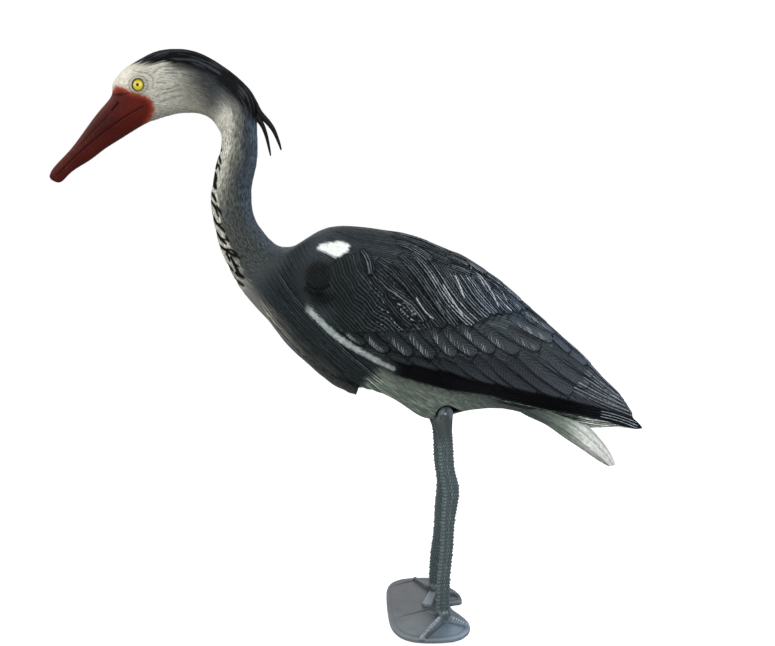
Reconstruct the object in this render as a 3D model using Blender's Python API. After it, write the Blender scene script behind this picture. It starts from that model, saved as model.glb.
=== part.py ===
"""Standing heron field decoy: two bonded hollow shell halves, inserted eyes and
crest plumes, and a folding pair of legs on one hinge pin that plug into a
horseshoe base plate.

The scene is in metres, +Z up; sizes below are in millimetres. X is lateral with the
bird's left at +X, the head points to -Y and the tail to +Y. The origin is on the
ground, at the underside of the base plate, on the mid plane between the ankles.

Objects named cut_* are hidden helpers that booleans add to or take from a piece.
"""

import math

import bmesh
import bpy
from mathutils import Matrix, Vector

MM = 0.001
SMOOTH_DEG = 35.0                  # sharper edges than this stay hard
SIDES = (("left", 1), ("right", -1))

# ---------------------------------------------------------------- shell
WALL = 1.9                         # moulded skin
CHEEK_WALL = 6.0                   # thicker side wall that holds the eye
SEAM_GAP = 0.15                    # each half stops this far from the mid plane
CAVITY_OVERCUT = 3.0               # cavity cutters reach this far past the mid plane
POLE_BIAS = 0.45                   # half rings have closer points near the seam

# Points in each half ring
SKIN_RING = 15
CAVITY_RING = 12
TAIL_RING = 9
LIP_RING = 7

# Stations of every half loft: dorsal point (y, z), ventral point (y, z), half width,
# how much the section narrows towards its ventral side (0 is a plain ellipse)
BODY = [
    # bill
    ((-453.6, 516.2), (-449.4, 509.4), 2.6, 0.0),
    ((-450.5, 519.6), (-443.2, 508.0), 4.6, 0.0),
    ((-440.0, 532.5), (-426.5, 518.0), 6.4, 0.0),
    ((-427.6, 548.4), (-412.0, 529.0), 8.0, 0.0),
    ((-408.6, 574.8), (-392.0, 544.3), 10.3, 0.0),
    ((-393.0, 595.0), (-374.0, 556.8), 12.6, 0.05),
    ((-382.0, 610.5), (-357.0, 569.0), 14.8, 0.10),
    # head
    ((-381.2, 620.0), (-343.9, 577.8), 16.6, 0.15),
    ((-374.4, 631.7), (-330.0, 583.8), 19.0, 0.20),
    ((-364.9, 642.1), (-318.0, 587.6), 21.0, 0.20),
    ((-352.0, 651.5), (-309.0, 589.6), 22.6, 0.20),
    ((-334.3, 661.3), (-300.0, 590.7), 23.8, 0.20),
    ((-314.4, 665.6), (-292.0, 590.9), 24.0, 0.20),
    ((-290.0, 664.5), (-285.0, 590.5), 23.2, 0.15),
    ((-267.8, 656.0), (-278.0, 588.8), 22.0, 0.10),
    ((-245.4, 641.7), (-270.5, 585.0), 21.0, 0.05),
    ((-227.0, 625.4), (-264.5, 579.0), 20.2, 0.0),
    # neck
    ((-217.0, 610.0), (-260.0, 572.0), 19.6, 0.0),
    ((-214.5, 592.0), (-256.5, 564.0), 19.2, 0.0),
    ((-214.8, 573.8), (-256.3, 554.0), 19.0, 0.0),
    ((-213.8, 549.0), (-258.0, 544.0), 18.8, 0.0),
    ((-216.2, 527.6), (-263.0, 528.3), 18.8, 0.0),
    ((-220.3, 507.5), (-266.3, 507.0), 18.8, 0.0),
    ((-221.5, 490.9), (-268.7, 490.5), 19.3, 0.0),
    ((-219.5, 474.4), (-267.1, 471.0), 20.3, 0.0),
    ((-213.0, 459.0), (-262.0, 448.0), 22.5, 0.05),
    ((-203.1, 446.1), (-256.5, 428.0), 26.0, 0.10),
    ((-191.6, 436.1), (-248.5, 411.0), 31.0, 0.15),
    ((-178.4, 432.8), (-239.3, 392.6), 37.5, 0.20),
    ((-165.0, 436.2), (-228.0, 375.5), 44.5, 0.25),
    ((-153.6, 444.6), (-214.0, 359.0), 51.5, 0.28),
    # trunk
    ((-140.5, 453.8), (-199.6, 342.4), 58.0, 0.20),
    ((-126.9, 458.9), (-183.1, 320.8), 63.5, 0.22),
    ((-111.0, 460.4), (-160.0, 298.0), 69.0, 0.20),
    ((-92.0, 459.5), (-133.4, 276.5), 73.0, 0.20),
    ((-75.0, 457.5), (-115.0, 268.5), 75.0, 0.20),
    ((-58.0, 454.7), (-95.0, 266.0), 76.0, 0.20),
    ((-42.0, 451.0), (-75.0, 261.3), 76.5, 0.20),
    ((-25.0, 446.0), (-53.0, 251.9), 76.5, 0.20),
    ((-7.0, 439.0), (-32.8, 238.2), 76.0, 0.20),
    ((8.0, 432.8), (-16.0, 229.2), 75.0, 0.20),
    ((24.0, 426.0), (0.0, 228.6), 73.5, 0.20),
    ((43.0, 414.5), (18.6, 233.6), 70.5, 0.20),
    ((62.0, 402.0), (38.0, 237.8), 66.5, 0.20),
    ((82.0, 387.5), (60.0, 239.8), 61.5, 0.20),
    ((102.0, 370.3), (82.0, 238.5), 55.5, 0.20),
    ((122.0, 354.0), (103.0, 234.0), 49.0, 0.18),
    ((141.0, 337.7), (122.0, 229.0), 43.0, 0.16),
    ((160.0, 322.0), (142.0, 222.0), 37.0, 0.18),
    ((178.0, 305.5), (163.0, 217.0), 31.0, 0.14),
    ((194.0, 288.0), (184.0, 215.4), 25.5, 0.10),
    ((210.0, 272.0), (203.0, 215.2), 20.0, 0.06),
    ((224.0, 258.0), (219.0, 215.0), 15.0, 0.0),
    ((235.0, 244.0), (232.0, 213.9), 10.5, 0.0),
    ((244.0, 229.0), (241.0, 212.8), 6.5, 0.0),
    ((250.8, 218.5), (248.8, 212.2), 3.2, 0.0),
]
CAVITY_FIRST, CAVITY_LAST = 3, 49  # BODY stations; both ends beyond are moulded solid
CHEEK_STATIONS = (7, 8, 9, 10)     # BODY stations with the thicker side wall

# Lip at the lower end of the breast plumes, standing proud of the belly
LIP = [
    ((-134.0, 300.0), (-146.0, 289.0), 27.0, 0.0),
    ((-120.0, 288.0), (-130.0, 273.6), 28.0, 0.0),
    ((-106.0, 280.0), (-114.0, 263.8), 26.0, 0.0),
    ((-93.0, 272.0), (-98.4, 257.2), 21.0, 0.0),
]

TAIL = [
    ((112.0, 262.0), (90.0, 243.0), 22.0, 0.0),
    ((130.0, 248.0), (106.0, 231.8), 25.0, 0.0),
    ((153.0, 237.0), (129.0, 221.0), 25.5, 0.0),
    ((177.0, 224.0), (152.0, 205.3), 24.0, 0.0),
    ((196.0, 204.5), (173.0, 191.4), 21.0, 0.0),
    ((206.5, 189.0), (195.0, 177.0), 17.5, 0.0),
    ((213.6, 174.8), (206.0, 170.6), 13.5, 0.0),
]

# Two upright ribs left standing in the cavity, with the leg carrier between them
RIB_T = 2.6
RIB_X = (1.5, 36.0)
RIB_Z = (222.0, 258.0)
RIB_INNER_Y = (-7.4, 22.4)         # facing sides of the front and rear ribs

# ---------------------------------------------------------------- eyes and crest
EYE_X, EYE_Y, EYE_Z = 18.5, -346.2, 615.0
EYE_TILT_DEG = 8.0                 # eye looks this far forward of straight sideways
EYE_DROP = 0.06                    # downward part of the eye's direction
EYE_SEGMENTS = 24
EYE_R = 7.3
EYE_SOCKET_R = EYE_R + 0.35
EYE_SOCKET_H = (-2.3, 12.0)        # along the eye's axis
# (radius, height along the eye's axis)
EYE_PROFILE = [
    (EYE_R, -1.9), (EYE_R, 0.6), (6.6, 1.3), (5.2, 2.2), (3.4, 2.85), (1.5, 3.15),
]

# Crest plumes in the mid plane: (y, z, depth in the plane, width across it)
PLUMES = {
    "upper": [
        (-221.0, 604.5, 7.0, 3.6),
        (-214.5, 600.0, 8.4, 3.8),
        (-208.6, 591.0, 7.6, 3.8),
        (-203.6, 581.5, 5.8, 3.4),
        (-196.5, 567.0, 4.2, 3.0),
        (-190.0, 555.0, 3.0, 2.4),
        (-186.6, 547.8, 1.8, 1.6),
    ],
    "lower": [
        (-221.5, 588.0, 6.0, 3.4),
        (-215.5, 584.0, 7.2, 3.6),
        (-210.6, 576.0, 6.0, 3.4),
        (-206.2, 566.0, 4.6, 3.0),
        (-202.2, 555.0, 3.6, 2.6),
        (-199.6, 546.0, 2.6, 2.2),
        (-198.4, 540.0, 1.8, 1.6),
    ],
}
PLUME_SEGMENTS = 10
PLUME_CUT_STATIONS = 5             # the sockets follow only this much of each plume
PLUME_CUT_GAP = 0.4                # clearance around the plume
PLUME_CUT_EXTRA = 0.6              # clearance beyond its root

# ---------------------------------------------------------------- hinge
PIVOT_Y, PIVOT_Z = 6.0, 237.5      # leg hinge axis, which runs along X
PIN_R, PIN_HALF = 1.6, 25.4
PIN_SEGMENTS = 20
BORE_R = PIN_R + 0.35
BUSH_R, BUSH_SEGMENTS = 4.5, 24
BUSH_X = (8.6, 15.6)
BUSH_BORE_OVERCUT = 2.0

CARRIER_HALF = 8.2
CARRIER_BORE_HALF = 12.0
# Side view (y, z)
CARRIER_OUTLINE = [
    (-3.4, 233.4), (1.0, 233.4), (13.0, 236.9), (14.6, 240.0), (14.6, 249.5), (-3.4, 249.5),
]
CARRIER_PLATE_HALF = 22.0
CARRIER_PLATE_GAP = 0.6            # from each rib
CARRIER_PLATE_Z = (247.8, 251.6)

# Clearance in the shell for the tongue and for the leg swinging back
SLOT_X = (8.5, 41.0)
SLOT_R = 11.5
SLOT_BOTTOM = 205.0
SLOT_REACH = 60.0                  # length of the straight edge beyond the arc
SLOT_ARC_STEPS = 8
FOLD_DEG = 60.0
FOLD_MARGIN_DEG = 1.5

# ---------------------------------------------------------------- legs
TONGUE_R, TONGUE_SEGMENTS = 8.8, 32
TONGUE_X = (16.0, 28.0)
LEG_BORE_X = (TONGUE_X[0] - 2, PIN_HALF + 0.4)
ANKLE_X, ANKLE_Y, ANKLE_Z = 37.5, 1.5, 16.0
PEG_R, PEG_BOTTOM = 3.4, 6.6
# (radius, z)
PEG_PROFILE = [(PEG_R - 0.5, PEG_BOTTOM), (PEG_R, PEG_BOTTOM + 0.7), (PEG_R, ANKLE_Z + 6)]

# Shank centre line from tongue to ankle: (z, x, y, half width across, half depth)
SHANK = [
    (231.4, 22.3, 3.2, 5.9, 11.6),
    (225.0, 22.9, 3.4, 5.9, 11.0),
    (218.0, 23.5, 4.6, 5.8, 9.4),
    (206.0, 24.4, 6.0, 5.7, 8.6),
    (188.0, 25.8, 6.8, 5.6, 8.5),
    (170.0, 27.2, 8.3, 5.7, 8.8),
    (158.0, 28.1, 10.8, 6.0, 9.4),
    (148.0, 28.9, 12.0, 6.1, 9.3),
    (138.0, 29.7, 11.4, 5.9, 8.8),
    (124.0, 30.7, 9.4, 5.6, 8.0),
    (106.0, 32.0, 7.6, 5.3, 7.3),
    (82.0, 33.8, 6.2, 5.2, 7.0),
    (56.0, 35.8, 3.0, 5.2, 7.0),
    (34.0, 37.0, 1.8, 5.4, 7.2),
    (ANKLE_Z + 0.4, ANKLE_X, ANKLE_Y, 5.8, 7.4),
]
SHANK_SEGMENTS = 12
SHANK_POWER_X, SHANK_POWER_Y = 0.75, 0.85   # below 1 squares off the oval section

# ---------------------------------------------------------------- base plate
PLATE_T = 5.0
# Front centre round to the left side (x, y), mirrored for the right side
PLATE_SIDE = [
    (0.0, -60.7), (15.0, -60.6), (30.0, -60.2), (45.0, -59.2), (58.0, -56.6),
    (69.0, -51.6), (76.6, -44.6), (81.4, -36.0), (84.0, -23.5), (84.6, -9.0), (83.0, 6.0),
]
# Rear edge from left to right (x, y), notched between the feet and not symmetric
PLATE_REAR = [
    (77.5, 17.5), (68.5, 25.2), (57.0, 29.6), (46.0, 29.6), (35.0, 26.5), (24.0, 21.8),
    (14.5, 16.8), (3.5, 14.0), (-4.5, 15.5), (-6.5, 23.0), (-8.5, 31.0), (-17.0, 32.2),
    (-28.0, 31.4), (-41.0, 27.3), (-50.0, 22.5), (-61.0, 20.0), (-73.0, 15.0),
]
# Edge profile: (inset from the outline, z)
PLATE_EDGE = [(1.2, 0.0), (0.0, 1.2), (0.0, 3.2), (3.4, PLATE_T)]

FOOT_SEGMENTS = 20                 # mounds, sockets and pegs
FOOT_ROOT_Z = 3.0                  # mounds and toes start here, inside the plate
# (radius, z)
MOUND_PROFILE = [(12.5, FOOT_ROOT_Z), (12.0, PLATE_T), (9.6, 10.0), (8.2, ANKLE_Z)]
SOCKET_R = PEG_R + 0.4
SOCKET_PROFILE = [(SOCKET_R, 6.0), (SOCKET_R, 30.0)]

# Toes as raised ridges: start (x, y), end (x, y), half width at start and end,
# height over the plate at start and end
TOES = {
    "left": [
        ((36.0, -1.0), (80.0, -27.5), 5.0, 3.2, 6.5, 2.0),
        ((37.0, 3.0), (53.5, 24.0), 4.6, 3.4, 6.5, 2.2),
        ((35.0, 0.0), (17.5, -11.5), 4.8, 4.0, 5.5, 1.2),
        ((34.0, -3.0), (33.5, -42.0), 4.6, 2.4, 5.0, 0.6),
    ],
    "right": [
        ((-36.0, -1.0), (-77.0, -21.0), 5.0, 3.2, 4.5, 1.2),
        ((-37.0, 3.0), (-26.5, 26.0), 4.6, 3.4, 6.5, 2.2),
        ((-35.0, 0.0), (3.0, -13.0), 5.2, 8.0, 6.0, 4.0),
        ((-34.0, -3.0), (-33.5, -42.0), 4.6, 2.4, 5.0, 0.6),
    ],
}
TOE_CREST = 0.45                   # crest width as a share of the toe's width
TOE_SHOULDER = 0.35                # shoulder height as a share of the toe's height


# ---------------------------------------------------------------- scene helpers
def clear_scene():
    for obj in list(bpy.data.objects):
        bpy.data.objects.remove(obj, do_unlink=True)
    for mesh in list(bpy.data.meshes):
        bpy.data.meshes.remove(mesh)


def material(name, colour, roughness, metallic=0.0):
    mat = bpy.data.materials.new(name)
    mat.use_nodes = True
    shader = mat.node_tree.nodes["Principled BSDF"]
    shader.inputs["Base Color"].default_value = (*colour, 1.0)
    shader.inputs["Roughness"].default_value = roughness
    shader.inputs["Metallic"].default_value = metallic
    return mat


def add_mesh(name, points, faces, mat=None, origin=(0, 0, 0)):
    """A mesh object from points in world mm; without a material it is a hidden helper."""
    base = Vector(origin)
    mesh = bpy.data.meshes.new(name)
    mesh.from_pydata([(Vector(p) - base) * MM for p in points], [], faces)
    bm = bmesh.new()
    bm.from_mesh(mesh)
    bmesh.ops.remove_doubles(bm, verts=bm.verts, dist=1e-7)
    bmesh.ops.recalc_face_normals(bm, faces=bm.faces)
    if bm.calc_volume(signed=True) < 0:
        bmesh.ops.reverse_faces(bm, faces=bm.faces)
    bm.to_mesh(mesh)
    bm.free()
    mesh.update()
    obj = bpy.data.objects.new(name, mesh)
    obj.location = base * MM
    bpy.context.collection.objects.link(obj)
    if mat:
        mesh.materials.append(mat)
        mesh.shade_smooth()
        mesh.set_sharp_from_angle(angle=math.radians(SMOOTH_DEG))
    else:
        obj.hide_render = True
        obj.display_type = "WIRE"
        obj.hide_set(True)
    return obj


def boolean(obj, tool, operation):
    mod = obj.modifiers.new(tool.name, "BOOLEAN")
    mod.operation = operation
    mod.object = tool
    mod.solver = "EXACT"


# ---------------------------------------------------------------- shape helpers
def x_span(side, near_far):
    """Distances from the mid plane as a rising pair of x on one side."""
    return sorted(side * distance for distance in near_far)


def circle(centre_a, centre_b, radius, count):
    angles = [2 * math.pi * i / count for i in range(count)]
    return [(centre_a + radius * math.cos(t), centre_b + radius * math.sin(t)) for t in angles]


def prism(name, outline, x0, x1, **kw):
    """An outline of (y, z) points extruded along X."""
    n = len(outline)
    points = [(x0, y, z) for y, z in outline] + [(x1, y, z) for y, z in outline]
    faces = [tuple(range(n)), tuple(range(2 * n - 1, n - 1, -1))]
    faces += [(i, (i + 1) % n, n + (i + 1) % n, n + i) for i in range(n)]
    return add_mesh(name, points, faces, **kw)


def box(name, x_range, y_range, z_range):
    (y0, y1), (z0, z1) = y_range, z_range
    return prism(name, [(y0, z0), (y1, z0), (y1, z1), (y0, z1)], *x_range)


def loft(name, rings, **kw):
    """Closed rings of equal count skinned in order and capped at both ends."""
    n = len(rings[0])
    points = [p for ring in rings for p in ring]
    faces = []
    for a in range(0, len(points) - n, n):
        b = a + n
        for i in range(n):
            j = (i + 1) % n
            faces.append((a + i, a + j, b + j, b + i))
    faces.append(tuple(range(n - 1, -1, -1)))
    faces.append(tuple(range(len(points) - n, len(points))))
    return add_mesh(name, points, faces, **kw)


def turned_rings(profile, count, centre_x=0.0, centre_y=0.0):
    """Rings of a (radius, z) profile turned about a vertical axis."""
    return [[(x, y, z) for x, y in circle(centre_x, centre_y, r, count)] for r, z in profile]


def section_width(angle, narrowing):
    """Relative width of a section; the angle runs from 0 dorsal to pi ventral."""
    return math.sin(angle) * (1 - narrowing * ((1 - math.cos(angle)) / 2) ** 1.5)


def half_ring(station, count, x_seam, side):
    """Points from the dorsal to the ventral side of one half section."""
    dorsal, ventral, half_width, narrowing = station
    mid_y, mid_z = (dorsal[0] + ventral[0]) / 2, (dorsal[1] + ventral[1]) / 2
    half_y, half_z = (ventral[0] - dorsal[0]) / 2, (ventral[1] - dorsal[1]) / 2
    widest = max(section_width(math.pi * i / 90, narrowing) for i in range(91))
    points = [(side * x_seam, *dorsal)]
    for i in range(1, count - 1):
        u = i / (count - 1)
        angle = math.pi * (u - POLE_BIAS * math.sin(2 * math.pi * u) / (2 * math.pi))
        x = x_seam + (half_width - x_seam) * section_width(angle, narrowing) / widest
        t = -math.cos(angle)
        points.append((side * x, mid_y + half_y * t, mid_z + half_z * t))
    points.append((side * x_seam, *ventral))
    return points


def half_loft(name, stations, count, x_seam, side, **kw):
    """A closed half body: half rings skinned along the stations, flat on the seam."""
    points, faces = [], []
    for station in stations:
        points += half_ring(station, count, x_seam, side)
    last = len(points) - count
    for a in range(0, last, count):
        b = a + count
        for i in range(count - 1):
            faces.append((a + i, a + i + 1, b + i + 1, b + i))
        faces.append((a, b, b + count - 1, a + count - 1))
    faces.append(tuple(range(count)))
    faces.append(tuple(range(last + count - 1, last - 1, -1)))
    return add_mesh(name, points, faces, **kw)


def pin_bore(name, x0, x1):
    return prism(name, circle(PIVOT_Y, PIVOT_Z, BORE_R, PIN_SEGMENTS), x0, x1)


def foot_turned(name, profile, side):
    """A helper turned about the ankle's vertical axis."""
    return loft(name, turned_rings(profile, FOOT_SEGMENTS, side * ANKLE_X, ANKLE_Y))


def eye_turned(name, profile, side, **kw):
    """A profile turned about the axis along which the eye looks out."""
    tilt = math.radians(EYE_TILT_DEG)
    out = Vector((side * math.cos(tilt), -math.sin(tilt), -EYE_DROP)).normalized()
    turn = out.to_track_quat("Z", "Y").to_matrix().to_4x4()
    frame = Matrix.Translation((side * EYE_X, EYE_Y, EYE_Z)) @ turn
    rings = turned_rings(profile, EYE_SEGMENTS)
    return loft(name, [[frame @ Vector(p) for p in ring] for ring in rings], **kw)


def plume_bar(name, path, grow=0.0, root_extra=0.0, **kw):
    """Oval bar along a plume path, optionally grown all round and past its root."""
    rings = []
    for i, (y, z, depth, width) in enumerate(path):
        before, after = path[max(i - 1, 0)], path[min(i + 1, len(path) - 1)]
        along = Vector((0, after[0] - before[0], after[1] - before[1])).normalized()
        centre = Vector((0, y, z))
        if i == 0:
            centre -= along * root_extra
        lateral = Vector((width / 2, 0, 0))
        upright = Vector((0, -along.z, along.y)) * (depth / 2)
        rings.append([
            centre
            + lateral.normalized() * (lateral.length + grow) * cos_t
            + upright.normalized() * (upright.length + grow) * sin_t
            for cos_t, sin_t in circle(0.0, 0.0, 1.0, PLUME_SEGMENTS)
        ])
    return loft(name, rings, **kw)


# ---------------------------------------------------------------- shell halves
def cavity_stations():
    """Body stations drawn in by the wall thickness."""
    stations = []
    for i in range(CAVITY_FIRST, CAVITY_LAST + 1):
        (dy, dz), (vy, vz), half_width, narrowing = BODY[i]
        length = math.hypot(vy - dy, vz - dz)
        step_y, step_z = (vy - dy) / length * WALL, (vz - dz) / length * WALL
        side_wall = CHEEK_WALL if i in CHEEK_STATIONS else WALL
        stations.append((
            (dy + step_y, dz + step_z),
            (vy - step_y, vz - step_z),
            half_width - side_wall,
            narrowing,
        ))
    return stations


def build_cavity(tag, side):
    cavity = half_loft(
        f"cut_{tag}_cavity", cavity_stations(), CAVITY_RING, -CAVITY_OVERCUT, side
    )
    front, rear = RIB_INNER_Y
    for label, y_range in (("front", (front - RIB_T, front)), ("rear", (rear, rear + RIB_T))):
        rib = box(f"cut_{tag}_rib_{label}", x_span(side, RIB_X), y_range, RIB_Z)
        boolean(cavity, rib, "DIFFERENCE")
    return cavity


def slot_outline():
    """Front edge, arc over the hinge, then the edge cleared by the leg folded back."""
    front = PIVOT_Y - SLOT_R
    points = [(front, SLOT_BOTTOM), (front, PIVOT_Z)]
    fold = math.radians(FOLD_DEG + FOLD_MARGIN_DEG)
    for i in range(1, SLOT_ARC_STEPS + 1):
        a = math.pi + (fold - math.pi) * i / SLOT_ARC_STEPS
        points.append((PIVOT_Y + SLOT_R * math.cos(a), PIVOT_Z + SLOT_R * math.sin(a)))
    rear = PIVOT_Y + SLOT_R * math.cos(fold) + SLOT_REACH * math.sin(fold)
    rear_z = PIVOT_Z + SLOT_R * math.sin(fold) - SLOT_REACH * math.cos(fold)
    return points + [(rear, rear_z), (rear, SLOT_BOTTOM)]


def build_shell(tag, side, mat):
    shell = half_loft(f"{tag}_shell", BODY, SKIN_RING, SEAM_GAP, side, mat=mat)
    tail = half_loft(f"cut_{tag}_tail", TAIL, TAIL_RING, SEAM_GAP, side)
    lip = half_loft(f"cut_{tag}_lip", LIP, LIP_RING, SEAM_GAP, side)
    cavity = build_cavity(tag, side)
    slot = prism(f"cut_{tag}_slot", slot_outline(), *x_span(side, SLOT_X))
    socket = eye_turned(f"cut_{tag}_eye", [(EYE_SOCKET_R, h) for h in EYE_SOCKET_H], side)
    boolean(shell, tail, "UNION")
    boolean(shell, lip, "UNION")
    for cutter in (cavity, slot, socket):
        boolean(shell, cutter, "DIFFERENCE")
    for label, path in PLUMES.items():
        cutter = plume_bar(
            f"cut_{tag}_plume_{label}",
            path[:PLUME_CUT_STATIONS],
            grow=PLUME_CUT_GAP,
            root_extra=PLUME_CUT_EXTRA,
        )
        boolean(shell, cutter, "DIFFERENCE")


# ---------------------------------------------------------------- hinge and legs
def build_carrier(mat):
    block = prism("leg_carrier", CARRIER_OUTLINE, -CARRIER_HALF, CARRIER_HALF, mat=mat)
    plate = box(
        "cut_carrier_plate",
        (-CARRIER_PLATE_HALF, CARRIER_PLATE_HALF),
        (RIB_INNER_Y[0] + CARRIER_PLATE_GAP, RIB_INNER_Y[1] - CARRIER_PLATE_GAP),
        CARRIER_PLATE_Z,
    )
    boolean(block, plate, "UNION")
    bore = pin_bore("cut_carrier_bore", -CARRIER_BORE_HALF, CARRIER_BORE_HALF)
    boolean(block, bore, "DIFFERENCE")


def build_pin(mat):
    outline = circle(PIVOT_Y, PIVOT_Z, PIN_R, PIN_SEGMENTS)
    prism("hinge_pin", outline, -PIN_HALF, PIN_HALF, mat=mat)


def build_bush(tag, side, mat):
    x0, x1 = x_span(side, BUSH_X)
    outline = circle(PIVOT_Y, PIVOT_Z, BUSH_R, BUSH_SEGMENTS)
    bush = prism(f"{tag}_hinge_bush", outline, x0, x1, mat=mat)
    bore = pin_bore(f"cut_{tag}_bush_bore", x0 - BUSH_BORE_OVERCUT, x1 + BUSH_BORE_OVERCUT)
    boolean(bush, bore, "DIFFERENCE")


def build_shank(tag, side):
    rings = []
    for z, x, y, half_width, half_depth in SHANK:
        ring = []
        for i in range(SHANK_SEGMENTS):
            t = 2 * math.pi * (i + 0.5) / SHANK_SEGMENTS
            cos_t, sin_t = math.cos(t), math.sin(t)
            ring.append(
                Vector((side * x, y, z))
                + Vector((half_width, 0, 0)) * math.copysign(abs(cos_t) ** SHANK_POWER_X, cos_t)
                + Vector((0, half_depth, 0)) * math.copysign(abs(sin_t) ** SHANK_POWER_Y, sin_t)
            )
        rings.append(ring)
    return loft(f"cut_{tag}_shank", rings)


def build_leg(tag, side, mat):
    """Round tongue on the hinge, with shank and peg; its origin is on the hinge axis."""
    outline = circle(PIVOT_Y, PIVOT_Z, TONGUE_R, TONGUE_SEGMENTS)
    x0, x1 = x_span(side, TONGUE_X)
    leg = prism(f"{tag}_leg", outline, x0, x1, mat=mat, origin=(0, PIVOT_Y, PIVOT_Z))
    boolean(leg, build_shank(tag, side), "UNION")
    boolean(leg, foot_turned(f"cut_{tag}_peg", PEG_PROFILE, side), "UNION")
    boolean(leg, pin_bore(f"cut_{tag}_bore", *x_span(side, LEG_BORE_X)), "DIFFERENCE")


# ---------------------------------------------------------------- base
def build_toe(name, start, end, width0, width1, height0, height1):
    a, b = Vector((*start, 0)), Vector((*end, 0))
    along = (b - a).normalized()
    across = Vector((-along.y, along.x, 0))
    rings = []
    for p, half_width, height in ((a, width0, height0), (b, width1, height1)):
        shoulder, crest = PLATE_T + height * TOE_SHOULDER, PLATE_T + height
        section = (
            (-1.0, FOOT_ROOT_Z), (-1.0, shoulder), (-TOE_CREST, crest),
            (TOE_CREST, crest), (1.0, shoulder), (1.0, FOOT_ROOT_Z),
        )
        rings.append([Vector((p.x, p.y, z)) + across * half_width * s for s, z in section])
    return loft(name, rings)


def plate_rings():
    """The plate outline at each level of its edge profile."""
    outline = PLATE_SIDE + PLATE_REAR + [(-x, y) for x, y in reversed(PLATE_SIDE) if x > 0]
    rings = []
    for inset, z in PLATE_EDGE:
        ring = []
        for k, (x, y) in enumerate(outline):
            before, after = outline[k - 1], outline[(k + 1) % len(outline)]
            along = Vector((after[0] - before[0], after[1] - before[1], 0)).normalized()
            inward = Vector((-along.y, along.x, 0))
            ring.append(Vector((x, y, z)) + inward * inset)
        rings.append(ring)
    return rings


def build_base(mat):
    plate = loft("base_plate", plate_rings(), mat=mat)
    for tag, side in SIDES:
        boolean(plate, foot_turned(f"cut_{tag}_mound", MOUND_PROFILE, side), "UNION")
        for k, toe in enumerate(TOES[tag]):
            boolean(plate, build_toe(f"cut_{tag}_toe_{k}", *toe), "UNION")
    for tag, side in SIDES:
        boolean(plate, foot_turned(f"cut_{tag}_socket", SOCKET_PROFILE, side), "DIFFERENCE")


def main():
    clear_scene()
    plumage = material("painted_plumage", colour=(0.045, 0.055, 0.062), roughness=0.55)
    eye_gloss = material("eye_gloss", colour=(0.62, 0.52, 0.05), roughness=0.12)
    crest_black = material("crest_black", colour=(0.012, 0.012, 0.014), roughness=0.5)
    leg_grey = material("leg_grey", colour=(0.12, 0.14, 0.145), roughness=0.45)
    nylon = material("carrier_nylon", colour=(0.05, 0.05, 0.05), roughness=0.5)
    acetal = material("bush_acetal", colour=(0.6, 0.6, 0.57), roughness=0.4)
    steel = material("pin_steel", colour=(0.55, 0.55, 0.56), roughness=0.3, metallic=1.0)

    for tag, side in SIDES:
        build_shell(tag, side, plumage)
        eye_turned(f"{tag}_eye", EYE_PROFILE, side, mat=eye_gloss)
        build_bush(tag, side, acetal)
        build_leg(tag, side, leg_grey)
    for label, path in PLUMES.items():
        plume_bar(f"crest_plume_{label}", path, mat=crest_black)
    build_carrier(nylon)
    build_pin(steel)
    build_base(leg_grey)


main()
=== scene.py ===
"""Looks of a heron decoy: two hollow plumage shells, eyes, crest plumes, scaled legs and a
footed base, then the floor, lights and camera. Lengths are in millimetres except on the
stage; meshes are written in metres. +X is the bird's left, -Y its bill, +Z up, and the
underside of the base lies at Z 0."""

import math
from itertools import count as counter
from types import SimpleNamespace

import bmesh
import bpy
import numpy as np
from mathutils import Matrix, Vector, kdtree
from mathutils.geometry import delaunay_2d_cdt


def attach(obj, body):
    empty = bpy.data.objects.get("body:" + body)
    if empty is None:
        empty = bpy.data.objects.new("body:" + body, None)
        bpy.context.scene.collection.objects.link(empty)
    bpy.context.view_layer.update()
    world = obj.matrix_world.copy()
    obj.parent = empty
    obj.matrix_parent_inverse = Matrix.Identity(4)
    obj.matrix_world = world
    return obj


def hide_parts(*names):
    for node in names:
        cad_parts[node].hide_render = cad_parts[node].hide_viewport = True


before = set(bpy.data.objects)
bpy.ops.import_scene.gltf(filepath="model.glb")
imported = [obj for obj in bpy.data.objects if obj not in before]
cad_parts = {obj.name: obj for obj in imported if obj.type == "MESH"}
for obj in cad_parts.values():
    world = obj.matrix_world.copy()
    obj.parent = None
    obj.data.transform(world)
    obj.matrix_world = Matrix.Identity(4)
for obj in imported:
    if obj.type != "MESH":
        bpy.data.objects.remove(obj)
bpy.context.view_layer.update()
MM = 0.001

# ------------------------------------------------------------------ driving sizes
SEAM = 0.02                                  # half gap between the two shells
PIVOT_Y, PIVOT_Z = 6.0, 237.5                # hinge of the legs
EYE_X, EYE_Y, EYE_Z, EYE_TILT = 18.5, -346.2, 615.0, 8.0
ANKLE_X, ANKLE_Y = 37.5, 1.5                 # where each leg plugs into the base
VIEWPOINT = np.array([770.0, -98.0, 343.0])  # where the side view is seen from
CARPAL_Y, CARPAL_Z = -142.9, 400.1           # centre of the carpal patch, side view
BREAST_PITCH = 5.6                           # between the grooves of the breast

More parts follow.
